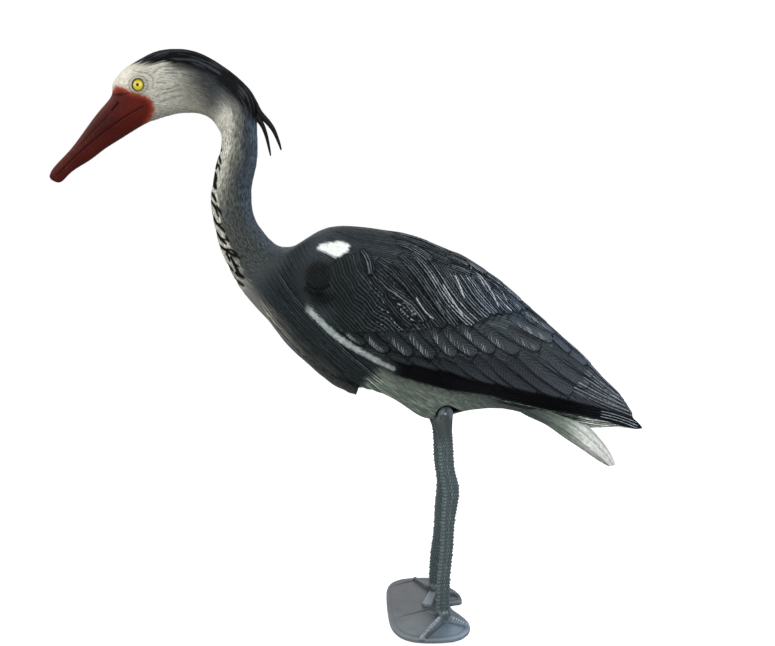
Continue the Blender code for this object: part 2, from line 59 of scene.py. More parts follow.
# ------------------------------------------------------------------ form tables
# Stations of the trunk and head: y, z of the upper edge, y, z of the lower edge,
# half width, narrowing of the lower part
BODY = [
    (-454.3, 514.4, -452.2, 509.8, 2.0, 0.0), (-452.4, 519.0, -446.4, 507.0, 4.9, 0.0),
    (-441.4, 533.0, -433.4, 516.0, 6.4, 0.0), (-427.6, 548.4, -412.0, 531.4, 8.0, 0.0),
    (-408.6, 574.8, -392.0, 546.8, 10.3, 0.0), (-393.0, 595.0, -374.0, 558.8, 12.6, 0.05),
    (-382.0, 610.5, -357.0, 570.0, 14.8, 0.10), (-381.2, 620.0, -343.9, 577.8, 16.6, 0.15),
    (-374.4, 631.7, -330.0, 583.8, 19.0, 0.20), (-364.9, 642.1, -318.0, 587.6, 21.0, 0.20),
    (-352.0, 651.5, -309.0, 589.6, 22.6, 0.20), (-334.3, 661.3, -300.0, 590.7, 23.8, 0.20),
    (-314.4, 665.6, -292.0, 590.9, 24.0, 0.20), (-290.0, 664.5, -285.0, 590.5, 23.2, 0.15),
    (-267.8, 656.0, -278.0, 588.8, 22.0, 0.10), (-245.4, 641.7, -270.5, 585.0, 21.0, 0.05),
    (-227.0, 625.4, -264.5, 579.0, 20.2, 0.0), (-217.0, 610.0, -260.0, 572.0, 19.6, 0.0),
    (-214.5, 592.0, -256.5, 564.0, 19.2, 0.0), (-214.8, 573.8, -256.3, 554.0, 19.0, 0.0),
    (-213.8, 549.0, -258.0, 544.0, 18.8, 0.0), (-216.2, 527.6, -263.0, 528.3, 18.8, 0.0),
    (-220.3, 507.5, -266.3, 507.0, 18.8, 0.0), (-221.5, 490.9, -268.7, 490.5, 19.3, 0.0),
    (-219.5, 474.4, -267.1, 471.0, 20.3, 0.0), (-213.0, 459.0, -262.0, 448.0, 22.5, 0.05),
    (-203.1, 446.1, -256.5, 428.0, 26.0, 0.10), (-191.6, 436.1, -248.5, 411.0, 31.0, 0.15),
    (-178.4, 432.8, -239.3, 392.6, 37.5, 0.20), (-165.0, 436.2, -228.0, 375.5, 44.5, 0.25),
    (-153.6, 444.6, -214.0, 359.0, 51.5, 0.28), (-140.5, 453.8, -199.6, 342.4, 58.0, 0.20),
    (-126.9, 458.9, -183.1, 320.8, 63.5, 0.22), (-111.0, 460.4, -160.0, 298.0, 69.0, 0.20),
    (-92.0, 459.5, -133.4, 276.5, 73.0, 0.20), (-75.0, 457.5, -115.0, 268.5, 75.0, 0.20),
    (-58.0, 454.7, -95.0, 266.0, 76.0, 0.20), (-42.0, 451.0, -75.0, 261.3, 76.5, 0.20),
    (-25.0, 446.0, -53.0, 251.9, 76.5, 0.20), (-7.0, 439.0, -32.8, 238.2, 76.0, 0.20),
    (8.0, 432.8, -16.0, 229.2, 75.0, 0.20), (24.0, 426.0, 0.0, 228.6, 73.5, 0.20),
    (43.0, 414.5, 18.6, 233.6, 70.5, 0.20), (62.0, 402.0, 38.0, 237.8, 66.5, 0.20),
    (82.0, 387.5, 60.0, 239.8, 61.5, 0.20), (102.0, 370.3, 82.0, 238.5, 55.5, 0.20),
    (122.0, 354.0, 103.0, 234.0, 49.0, 0.18), (141.0, 337.7, 122.0, 229.0, 43.0, 0.16),
    (160.0, 322.0, 142.0, 222.0, 37.0, 0.18), (178.0, 305.5, 163.0, 217.0, 31.0, 0.14),
    (194.0, 288.0, 184.0, 215.4, 25.5, 0.10), (210.0, 272.0, 203.0, 215.2, 20.0, 0.06),
    (224.0, 258.0, 219.0, 215.0, 15.0, 0.0), (235.0, 244.0, 232.0, 213.9, 10.5, 0.0),
    (244.0, 229.0, 241.0, 212.8, 6.5, 0.0), (250.8, 218.5, 248.8, 212.2, 3.2, 0.0),
]
# Distance between rows of points, by station number
ROW_PITCH_AT = [0, 6, 8, 16, 18, 26, 30, 32, 55]
ROW_PITCH = [1.1, 1.1, 0.85, 0.85, 1.0, 1.0, 1.35, 1.4, 1.4]
# Hollow inside the shell: its stations, and its wall by the y of the upper edge
CAVITY_FIRST, CAVITY_LAST = 4, 46
THICK_CHEEKS, CHEEK_WALL = (7, 8, 9, 10), 6.4
WALL_AT = [-225, -205, -120, -60, -15, 30, 80, 120]
WALL = [3.4, 7.0, 7.0, 3.6, 2.3, 2.3, 4.4, 7.0]
# Stations of the lip below the breast and of the tail, columns as in BODY
LIP = [
    (-150.0, 312.0, -160.0, 300.0, 27.0, 0.0), (-134.0, 300.0, -146.0, 287.5, 29.0, 0.0),
    (-120.0, 288.0, -130.0, 273.6, 29.0, 0.0), (-106.0, 280.0, -114.0, 263.8, 27.0, 0.0),
    (-93.0, 272.0, -98.4, 257.2, 22.0, 0.0),
]
TAIL = [
    (112.0, 262.0, 90.0, 243.0, 22.0, 0.0), (130.0, 248.0, 106.0, 231.8, 25.0, 0.0),
    (153.0, 237.0, 129.0, 221.0, 25.5, 0.0), (177.0, 224.0, 152.0, 205.3, 24.0, 0.0),
    (196.0, 204.5, 173.0, 191.4, 21.0, 0.0), (206.5, 189.0, 195.0, 177.0, 17.5, 0.0),
    (213.6, 174.8, 206.0, 170.6, 13.5, 0.0),
]
# Crest plumes: y, z, depth, width
PLUME_UPPER = [
    (-222.7, 610.5, 9.0, 4.2), (-217.8, 601.7, 8.6, 4.2), (-212.6, 592.5, 8.0, 4.0),
    (-204.5, 583.5, 7.0, 3.6), (-196.3, 573.1, 5.6, 3.2), (-191.4, 562.6, 4.2, 2.6),
    (-187.8, 552.8, 2.9, 2.1), (-186.5, 548.2, 1.8, 1.6),
]
PLUME_LOWER = [
    (-219.1, 594.1, 7.0, 3.6), (-214.6, 585.9, 7.0, 3.6), (-210.3, 580.1, 6.0, 3.3),
    (-206.4, 572.2, 5.0, 3.0), (-203.5, 563.1, 4.2, 2.7), (-201.2, 553.2, 3.3, 2.4),
    (-199.6, 545.4, 2.4, 2.0), (-198.9, 541.4, 1.7, 1.6),
]

# ------------------------------------------------------------------ side-view tables
# All points from here to the strokes are (y, z) in the side view.
# Feather centre lines (root, middle, tip), upper feathers last
TERTIALS = [
    ((-63, 310), (-48, 301), (-31, 292)), ((-39, 304), (-19, 295), (2, 286)),
    ((-10, 304), (11, 289), (34, 281)), ((1, 301), (21, 287), (46, 276)),
    ((21, 302), (45, 284), (70, 271)), ((42, 304), (67, 282), (97, 264)),
    ((59, 307), (86, 279), (118, 257)), ((83, 307), (117, 275), (148, 254)),
    ((96, 311), (132, 280), (164, 259)), ((122, 317), (153, 288), (184, 267)),
    ((141, 319), (165, 300), (191, 280)),
]
REAR = [
    ((165, 266), (205, 247), (241, 233)), ((170, 272), (208, 252), (238, 238)),
    ((176, 279), (208, 259), (235, 243)), ((180, 288), (207, 267), (231, 249)),
    ((184, 297), (206, 275), (226, 256)),
]
UPPER_LONG = [
    ((144, 336), (167, 317), (190, 296)), ((83, 356), (110, 339), (141, 324)),
    ((91, 371), (117, 352), (144, 334)),
]
GREATER = [
    ((-124, 354), (-117, 341), (-103, 331)), ((-113, 340), (-103, 328), (-86, 319)),
    ((-88, 338), (-77, 322), (-59, 309)), ((-62, 336), (-48, 320), (-31, 305)),
    ((-37, 340), (-23, 320), (-4, 302)), ((-8, 342), (5, 322), (22, 304)),
    ((6, 343), (26, 320), (47, 306)), ((26, 348), (48, 323), (69, 309)),
    ((56, 340), (77, 320), (98, 309)), ((84, 338), (105, 322), (125, 313)),
]
SCAPULARS = [
    ((-69, 383), (-56, 365), (-42, 348), (-31, 339)),
    ((-77, 407), (-56, 384), (-29, 365), (-14, 345)),
    ((-94, 436), (-84, 421), (-79, 400)),
    ((-86, 428), (-56, 409), (-29, 383), (-4, 352)),
    ((-69, 426), (-39, 396), (-15, 366), (8, 338)),
    ((-58, 438), (-23, 404), (0, 371), (24, 340)),
    ((-44, 441), (-10, 408), (14, 371), (44, 341)),
    ((-26, 438), (2, 411), (24, 379), (56, 346)),
    ((-8, 434), (18, 406), (36, 377), (62, 350)),
    ((8, 429), (32, 402), (50, 376), (72, 354)),
    ((24, 421), (46, 398), (62, 375), (80, 355)),
    ((38, 412), (58, 392), (74, 372), (90, 356)),
    ((50, 404), (68, 388), (86, 372), (101, 357)),
]
# Lines that steer the ridges of the lesser coverts and the grooves of the breast
LESSER_GUIDE = [
    (-128, 436), (-118.5, 420.4), (-109.1, 395.7), (-93.9, 376.7), (-76.7, 357.7),
    (-53.9, 340.6), (-36, 325), (-26, 312),
]
BREAST_GUIDE = [
    (-206, 420), (-190, 390), (-156, 346), (-119, 308), (-84, 278), (-40, 242), (20, 196),
]
# Outlines and borders of the regions
LESSER_REGION = [
    (-156, 392), (-150, 366), (-132, 341), (-112, 331), (-90, 331), (-50, 332), (-16, 333),
    (2, 338), (-14, 352), (-40, 380), (-66, 408), (-96, 428), (-118, 424), (-128, 412),
]
WING_EDGE = [
    (-140, 480), (-150, 450), (-157, 420), (-163, 398), (-160, 372), (-150, 350),
    (-137, 334), (-121, 320), (-103, 308), (-82, 297), (-62, 287), (-46, 279), (-15, 269),
    (15, 261), (45, 256.5), (76, 252), (137, 239), (198, 226.5), (232, 217), (252, 212),
]
UPPER_WING_EDGE = [
    (-170, 430), (-110, 425), (-60, 400), (0, 365), (60, 350), (120, 345), (200, 290),
    (260, 240),
]
BILL_REGION = [
    (-392, 618), (-382.1, 616.1), (-379.2, 620.5), (-370.6, 619.8), (-362, 614.6),
    (-351.5, 612.4), (-341.9, 609.1), (-336.2, 602.4), (-334.3, 593.6), (-337.7, 583.8),
    (-341.9, 577.9), (-345, 566), (-470, 480), (-480, 540),
]
CROWN_EDGE = [
    (-372, 650), (-356.3, 647.7), (-343.9, 648.0), (-324.7, 649.3), (-307.4, 645.8),
    (-293.9, 644.1), (-274.6, 637.6), (-255.3, 620.3), (-235.9, 601.1), (-218.4, 579.8),
]
BAND_TOP = [
    (-58, 300), (-45, 296.3), (15, 284.1), (50, 273.2), (75.6, 269), (94, 264.5),
    (136.7, 256), (198.3, 240), (222, 232), (256, 222),
]
BAND_BOTTOM = [
    (-58, 281), (-45, 277.2), (15, 261.5), (50, 257), (75.6, 252.3), (104, 245),
    (136.7, 238), (198.3, 226), (232, 216), (256, 210),
]
FRONT_LINE = [
    (-266, 500), (-262, 448), (-248.5, 411), (-228, 375.5), (-199.6, 342.4), (-183, 321),
    (-160, 298), (-133, 276.5),
]
LIP_FRONT_LINE = [(-183, 321), (-160, 298), (-133, 276.5), (-98, 257)]
WHITE_PATCH = [
    (-143.5, 433), (-139, 438), (-127, 440.8), (-115, 441.4), (-107, 440), (-104.6, 436.5),
    (-106.5, 432), (-118, 423.5), (-122, 423), (-131, 427),
]
LEADING_STRIPE = [
    (-157, 364), (-154.8, 359.6), (-143.5, 347.2), (-131.1, 335.5), (-118.5, 324.7),
    (-101.8, 313.8), (-81.1, 301.9), (-64.4, 292.8), (-53.6, 288),
]
# Dark dashes down the neck front: line, width
DASHES = [
    ([(-245.8, 420.7), (-239.3, 407.6), (-234.8, 398.4)], 1.3),
    ([(-240.0, 402.4), (-230.9, 396.5)], 2.0), ([(-239.3, 393.2), (-230.9, 386.6)], 1.1),
    ([(-257.6, 561), (-257.9, 552)], 0.9), ([(-257.4, 550.5), (-256.9, 546.5)], 0.7),
    ([(-263.2, 542.5), (-262.7, 536.5)], 1.0), ([(-259.8, 541.0), (-257.0, 530.5)], 1.0),
    ([(-262.5, 534.1), (-262.9, 525.3)], 1.2), ([(-260.2, 530.2), (-258.6, 523.3)], 0.8),
    ([(-265.0, 520.4), (-263.0, 510.6)], 1.8), ([(-266.2, 510.0), (-263.0, 501.5)], 2.0),
    ([(-267.4, 496.4), (-262.7, 486.2)], 1.2),
    ([(-268.2, 486.6), (-263.0, 477.3), (-260.2, 469.0)], 1.1),
    ([(-262.0, 481.3), (-257.0, 471.0)], 1.0),
    ([(-267.4, 470.0), (-262.7, 460.7), (-257.2, 459.6)], 1.1),
    ([(-262.7, 460.7), (-257.2, 455.9), (-253.0, 450.5)], 1.2),
    ([(-262.9, 451.4), (-258.2, 443.1), (-251.4, 441.0)], 1.1),
    ([(-258.2, 443.1), (-251.0, 436.0)], 1.2), ([(-251.8, 445.2), (-248.0, 438.5)], 0.9),
    ([(-259.6, 435.0), (-253.4, 430.0), (-245.6, 429.5)], 1.1),
    ([(-253.4, 430.0), (-245.6, 424.6), (-235.5, 420.0)], 1.2),
    ([(-251.0, 425.6), (-247.0, 416.0)], 1.0), ([(-245.6, 429.5), (-238.0, 424.0)], 0.9),
    ([(-249.0, 412.0), (-243.0, 404.0)], 0.9), ([(-244.0, 415.0), (-236.0, 409.0)], 0.8),
    ([(-243.0, 398.0), (-238.0, 391.0)], 0.8),
]
# Carved lines of the bill: depth (negative is a ridge), width, darkness (painted shade in the
# line), end fade, line
BILL_LINES = [
    (0.9, 0.8, 0.7, 3.0, [(-447, 514), (-435.2, 527.2), (-416.3, 545.8), (-389.7, 568.5),
                          (-366.8, 585.3), (-345.8, 598.3)]),
    (-0.5, 0.7, 0.0, 3.0, [(-446, 512.4), (-434, 525.4), (-415, 544), (-388.4, 566.7),
                           (-365.5, 583.5), (-348, 595)]),
    (1.3, 1.1, 0.9, 1.5, [(-384.0, 590.9), (-375.4, 602.3)]),
    (0.6, 0.9, 0.4, 8, [(-422.9, 547.6), (-403.0, 569.2), (-384.0, 588.9)]),
    (0.9, 0.8, 0.6, 2, [(-382, 610.4), (-376, 610.2), (-370.6, 610.5), (-361.1, 614.2)]),
]
# Carved lines round and behind the eye, darkened with painted shade
CHEEK_LINES = [
    [(-361.1, 639.9), (-351.5, 638.1), (-343.9, 636.3), (-337.7, 632.1), (-335.8, 624.8),
     (-337.7, 616.5)],
    [(-338.5, 635.4), (-332.4, 640.8), (-325.7, 644.8), (-316.1, 646.6)],
    [(-325.7, 640.1), (-315.1, 641.1), (-306.4, 640.9)],
    [(-323.7, 636.6), (-313.2, 636.9), (-305.4, 636.0)],
    [(-334.3, 607.3), (-320.9, 613.3), (-301.6, 618.5)],
    [(-332.4, 617.0), (-318.9, 618.0), (-303.4, 624.3)],
    [(-330, 601.5), (-318, 606.5), (-300, 611)], [(-334.3, 625.4), (-318.9, 625.6)],
]
# Brushed white on the scapulars, painted highlights along their ridges: line, strength
SCAPULAR_STROKES = [
    ([(-27, 376), (-10, 352), (-2, 346)], 0.8), ([(5, 391), (17, 372), (32, 349)], 0.9),
    ([(20, 402), (27, 387), (33, 371)], 1.0), ([(40, 414), (52, 395), (62, 378)], 0.8),
    ([(46, 406), (58, 391), (68, 376), (74, 360)], 1.0),
    ([(62, 398), (78, 380), (88, 362)], 0.7), ([(-42, 372), (-27, 350)], 0.5),
    ([(-57, 384), (-36, 366), (-20, 348)], 0.45), ([(-4, 372), (10, 350)], 0.5),
    ([(-18, 384), (-4, 362)], 0.35), ([(-52, 366), (-38, 350)], 0.4),
    ([(24, 372), (42, 350)], 0.5),
]


# ------------------------------------------------------------------ small maths
def rise(low, high, value):
    """Smooth step from 0 at low to 1 at high."""
    part = np.clip((np.asarray(value, float) - low) / (high - low), 0.0, 1.0)
    return part * part * (3 - 2 * part)


def fall(low, high, value):
    """Smooth step from 1 at low to 0 at high."""
    return 1 - rise(low, high, value)


def bell(offset, width):
    return np.exp(-(offset / width) ** 2)


def decay(distance, reach):
    """1 up to distance zero, then dying away."""
    return np.exp(-np.clip(distance, 0, None) / reach)


def spot(y, z, centre, size):
    """Soft oval spot."""
    return np.exp(-(((y - centre[0]) / size[0]) ** 2 + ((z - centre[1]) / size[1]) ** 2))


def ripple(value, pitch):
    """Wave between 0 and 1."""
    return 0.5 + 0.5 * np.cos(2 * math.pi * value / pitch)


def mix(first, second, weight):
    weight = np.asarray(weight)[..., None]
    return np.asarray(first) * (1 - weight) + np.asarray(second) * weight


def layered(colour, *coats):
    """Colour with (tint, weight) coats laid over it in turn."""
    for tint, weight in coats:
        colour = mix(colour, tint, weight)
    return colour


def rgb(red, green, blue):
    """Linear colour from 0..255 display values."""
    part = np.array([red, green, blue], float) / 255
    return np.where(part <= 0.04045, part / 12.92, ((part + 0.055) / 1.055) ** 2.4)


LATTICE = np.random.RandomState(11).rand(256, 256)


def noise(x, y, seed):
    """Smooth value noise in 0..1."""
    x, y = np.asarray(x, float), np.asarray(y, float)
    cell_x, cell_y = np.floor(x).astype(int), np.floor(y).astype(int)
    x, y = x - cell_x, y - cell_y
    x, y = x * x * (3 - 2 * x), y * y * (3 - 2 * y)
    i, j = cell_x + 37 * seed, cell_y + 71 * seed

    def corner(i, j):
        return LATTICE[i % 256, j % 256]

    return (
        corner(i, j) * (1 - x) * (1 - y) + corner(i + 1, j) * x * (1 - y)
        + corner(i, j + 1) * (1 - x) * y + corner(i + 1, j + 1) * x * y
    )


def fractal(x, y, seed, octaves=2):
    """Octaves of value noise, in 0..1."""
    total, weight, weights = 0.0, 1.0, 0.0
    for k in range(octaves):
        total = total + weight * noise(x * 2**k, y * 2**k, seed + 5 * k)
        weights += weight
        weight *= 0.5
    return total / weights


def natural_spline(knots, values, query):
    """Natural cubic spline through rows of values at the knots, read at query."""
    size = len(knots)
    gap = np.diff(knots)
    slope = np.diff(values, axis=0) / gap[:, None]
    matrix = np.zeros((size, size))
    right = np.zeros((size, values.shape[1]))
    matrix[0, 0] = matrix[-1, -1] = 1.0
    for i in range(1, size - 1):
        matrix[i, i - 1:i + 2] = gap[i - 1], 2 * (gap[i - 1] + gap[i]), gap[i]
        right[i] = 6 * (slope[i] - slope[i - 1])
    bend = np.linalg.solve(matrix, right)
    k = np.clip(np.searchsorted(knots, query, side="right") - 1, 0, size - 2)
    past = (query - knots[k])[:, None]
    left = (knots[k + 1] - query)[:, None]
    span = gap[k][:, None]
    return (
        bend[k] * left**3 / (6 * span) + bend[k + 1] * past**3 / (6 * span)
        + (values[k] / span - bend[k] * span / 6) * left
        + (values[k + 1] / span - bend[k + 1] * span / 6) * past
    )


def smooth_line(points, samples):
    """Spline through 2-D points."""
    points = np.asarray(points, float)
    knots = np.r_[0, np.cumsum(np.hypot(*np.diff(points, axis=0).T))]
    return natural_spline(knots, points, np.linspace(0, knots[-1], samples))


def polyline_distance(points, line):
    """Distance from each 2-D point to a polyline, arc length there, and signed side."""
    best = np.full(len(points), 1e9)
    arc = np.zeros(len(points))
    side = np.zeros(len(points))
    run = 0.0
    line = np.asarray(line, float)
    for start, end in zip(line[:-1], line[1:]):
        length = np.hypot(*(end - start))
        ahead = (end - start) / length
        rel = points - start
        reach = np.clip(rel @ ahead, 0, length)
        gap = rel - reach[:, None] * ahead
        distance = np.hypot(gap[:, 0], gap[:, 1])
        near = distance < best
        best = np.where(near, distance, best)
        arc = np.where(near, run + reach, arc)
        side = np.where(near, rel @ np.array([-ahead[1], ahead[0]]), side)
        run += length
    return best, arc, side


def polygon_distance(points, polygon):
    """Signed distance to a closed polygon, negative inside."""
    polygon = np.asarray(polygon, float)
    closed = np.vstack([polygon, polygon[:1]])
    distance = polyline_distance(points, closed)[0]
    x, y = points[:, 0], points[:, 1]
    inside = np.zeros(len(points), bool)
    for (x0, y0), (x1, y1) in zip(closed[:-1], closed[1:]):
        # level edges divide by almost nothing, and their result is masked out
        with np.errstate(divide="ignore", invalid="ignore"):
            crossing = (x1 - x0) * (y - y0) / (y1 - y0 + 1e-12) + x0
        inside ^= ((y0 > y) != (y1 > y)) & (x < crossing)
    return np.where(inside, -distance, distance)


def nearest(cloud, points):
    """Index of and distance to the cloud point nearest each point."""
    tree = kdtree.KDTree(len(cloud))
    for i, point in enumerate(cloud):
        tree.insert(point, i)
    tree.balance()
    found = [tree.find(point)[1:] for point in points]
    return np.array([i for i, _ in found]), np.array([gap for _, gap in found])


# ------------------------------------------------------------------ mesh helpers
def new_object(name, points, faces, smooth=True):
    """Object from millimetre points, its faces turned outward."""
    mesh = bpy.data.meshes.new(name)
    mesh.from_pydata((np.asarray(points, float) * MM).tolist(), [], [list(f) for f in faces])
    mesh.validate(clean_customdata=False)
    obj = bpy.data.objects.new(name, mesh)
    bpy.context.scene.collection.objects.link(obj)
    if smooth:
        mesh.shade_smooth()
    work = bmesh.new()
    work.from_mesh(mesh)
    bmesh.ops.recalc_face_normals(work, faces=work.faces)
    if work.calc_volume(signed=True) < 0:
        bmesh.ops.reverse_faces(work, faces=work.faces)
    work.to_mesh(mesh)
    work.free()
    return obj


def cut(obj, tool, operation="DIFFERENCE"):
    """Boolean applied at once; the tool is removed."""
    modifier = obj.modifiers.new("cut", "BOOLEAN")
    modifier.operation, modifier.object, modifier.solver = operation, tool, "MANIFOLD"
    graph = bpy.context.evaluated_depsgraph_get()
    mesh = bpy.data.meshes.new_from_object(obj.evaluated_get(graph), depsgraph=graph)
    if len(mesh.polygons) < 4:
        raise RuntimeError(f"{obj.name}: Boolean with {tool.name} left nothing")
    obj.modifiers.clear()
    old, tool_mesh = obj.data, tool.data
    obj.data = mesh
    bpy.data.meshes.remove(old)
    bpy.data.objects.remove(tool)
    bpy.data.meshes.remove(tool_mesh)


def coords(obj):
    flat = np.empty(len(obj.data.vertices) * 3, np.float32)
    obj.data.vertices.foreach_get("co", flat)
    return flat.reshape(-1, 3).astype(float) / MM


def write_fields(obj, fields):
    """Vertex attributes: vectors where the name starts with v_, else colours."""
    for name, values in fields.items():
        values = np.asarray(values, np.float32)
        if name.startswith("v_"):
            layer = obj.data.attributes.new(name, "FLOAT_VECTOR", "POINT")
            layer.data.foreach_set("vector", values.ravel())
        else:
            rgba = np.ones((len(values), 4), np.float32)
            rgba[:, :3] = values
            layer = obj.data.attributes.new(name, "FLOAT_COLOR", "POINT")
            layer.data.foreach_set("color", rgba.ravel())


def soften(obj, sharp_from):
    """Smooth shading with edges kept sharp beyond an angle in degrees."""
    obj.data.shade_smooth()
    obj.data.set_sharp_from_angle(angle=math.radians(sharp_from))


def grid_faces(rows, columns, wrap=False):
    last = columns if wrap else columns - 1
    i, j = np.meshgrid(np.arange(rows - 1), np.arange(last), indexing="ij")
    k = (j + 1) % columns
    corners = [i * columns + j, i * columns + k, (i + 1) * columns + k, (i + 1) * columns + j]
    return np.stack(corners, -1).reshape(-1, 4).tolist()


def capped_faces(rows, count):
    """Faces of a tube of closed rings with both ends capped."""
    ends = [list(range(count - 1, -1, -1)), list(range((rows - 1) * count, rows * count))]
    return grid_faces(rows, count, wrap=True) + ends


def half_closed_faces(rows, count):
    """Faces of half rings, closed over the seam plane and at both ends."""
    faces = grid_faces(rows, count)
    for i in range(rows - 1):
        start, after = i * count, (i + 1) * count
        faces.append([start, after, after + count - 1, start + count - 1])
    last = (rows - 1) * count
    return faces + [list(range(count)), list(range(last + count - 1, last - 1, -1))]


def prism(name, outline, x0, x1):
    """(y, z) outline drawn out from x0 to x1."""
    n = len(outline)
    points = [(x, y, z) for x in (x0, x1) for y, z in outline]
    faces = [tuple(range(n)), tuple(range(2 * n - 1, n - 1, -1))]
    faces += [(i, (i + 1) % n, n + (i + 1) % n, n + i) for i in range(n)]
    return new_object(name, points, faces, smooth=False)


def pivot_circle(radius, count):
    """(y, z) circle round the leg pivot."""
    angles = [2 * math.pi * i / count for i in range(count)]
    return [(PIVOT_Y + radius * math.cos(a), PIVOT_Z + radius * math.sin(a)) for a in angles]


def turned(name, profile, count, place):
    """(radius, height) profile turned about the local Z of place."""
    points = []
    for radius, height in profile:
        for i in range(count):
            angle = 2 * math.pi * i / count
            local = Vector((radius * math.cos(angle), radius * math.sin(angle), height))
            points.append(tuple(place @ local))
    return new_object(name, points, capped_faces(len(profile), count))


def tube(name, path, count, grow=0.0, first_back=0.0, relief=None):
    """Oval bar in the mid plane through (y, z, depth, width), finely sampled."""
    table = np.array(path, float)
    knots = np.r_[0, np.cumsum(np.hypot(*np.diff(table[:, :2], axis=0).T))]
    query = np.linspace(0, knots[-1], int(knots[-1] / 0.45) + 2)
    rows = natural_spline(knots, table, query)
    ahead = np.gradient(rows[:, :2], axis=0)
    ahead /= np.hypot(*ahead.T)[:, None]
    rows[0, :2] -= ahead[0] * first_back
    points = []
    for (y, z, depth, width), (ahead_y, ahead_z), reach in zip(rows, ahead, query):
        for i in range(count):
            angle = 2 * math.pi * i / count
            swell = 1.0 + (relief(angle, reach / knots[-1]) if relief else 0.0)
            x = math.cos(angle) * (width / 2 + grow) * swell
            out = math.sin(angle) * (depth / 2 + grow) * swell
            points.append((x, y - ahead_z * out, z + ahead_y * out))
    return new_object(name, points, capped_faces(len(rows), count))


# ------------------------------------------------------------------ body surface
def rows_through(stations, spacing):
    """Spline rows through the stations, their reach along the body and station number;
    spacing(station number) gives the row pitch."""
    table = np.array(stations, float)
    upper, lower = (np.hypot(*np.diff(table[:, i:i + 2], axis=0).T) for i in (0, 2))
    knots = np.r_[0, np.cumsum((upper + lower) / 2)]
    query = [0.0]
    while query[-1] < knots[-1] - 0.3:
        now = query[-1]
        k = min(int(np.searchsorted(knots, now, side="right") - 1), len(knots) - 2)
        pitch = spacing(k + (now - knots[k]) / (knots[k + 1] - knots[k]))
        query.append(min(now + pitch, knots[-1]))
    query[-1] = knots[-1]
    query = np.array(query)
    rows = natural_spline(knots, table, query)
    rows[:, 4] = np.maximum(rows[:, 4], 1.2)
    rows[:, 5] = np.clip(rows[:, 5], 0, 0.4)
    return rows, query, np.interp(query, knots, np.arange(len(knots)))


def ring_points(rows, count, x_seam):
    """Evenly spaced points round each half section: (rows, count, 3) and their angle."""
    fine = np.linspace(0, math.pi, 361)
    down = -np.cos(fine)
    angles = np.empty((len(rows), count))
    points = np.empty((len(rows), count, 3))
    for i, (top_y, top_z, low_y, low_z, width, narrowing) in enumerate(rows):
        profile = np.sin(fine) * (1 - narrowing * ((1 - np.cos(fine)) / 2) ** 1.5)
        x = x_seam + (width - x_seam) * profile / profile.max()
        y = (top_y + low_y) / 2 + (low_y - top_y) / 2 * down
        z = (top_z + low_z) / 2 + (low_z - top_z) / 2 * down
        arc = np.r_[0, np.cumsum(np.sqrt(np.diff(x) ** 2 + np.diff(y) ** 2 + np.diff(z) ** 2))]
        angles[i] = np.interp(np.linspace(0, arc[-1], count), arc, fine)
        for j, values in enumerate((x, y, z)):
            points[i, :, j] = np.interp(angles[i], fine, values)
    return points, angles


def surface_normals(points):
    across = np.gradient(points, axis=1)
    across[:, 0] = [1, 0, 0]
    across[:, -1] = [-1, 0, 0]
    normals = np.cross(np.gradient(points, axis=0), across)
    normals /= np.linalg.norm(normals, axis=-1)[..., None] + 1e-12
    centre = points.mean(axis=1, keepdims=True) * [0, 1, 1]
    if ((points - centre) * normals).sum() < 0:
        normals = -normals
    normals[:, 0, 0] = normals[:, -1, 0] = 0
    normals /= np.linalg.norm(normals, axis=-1)[..., None] + 1e-12
    return normals


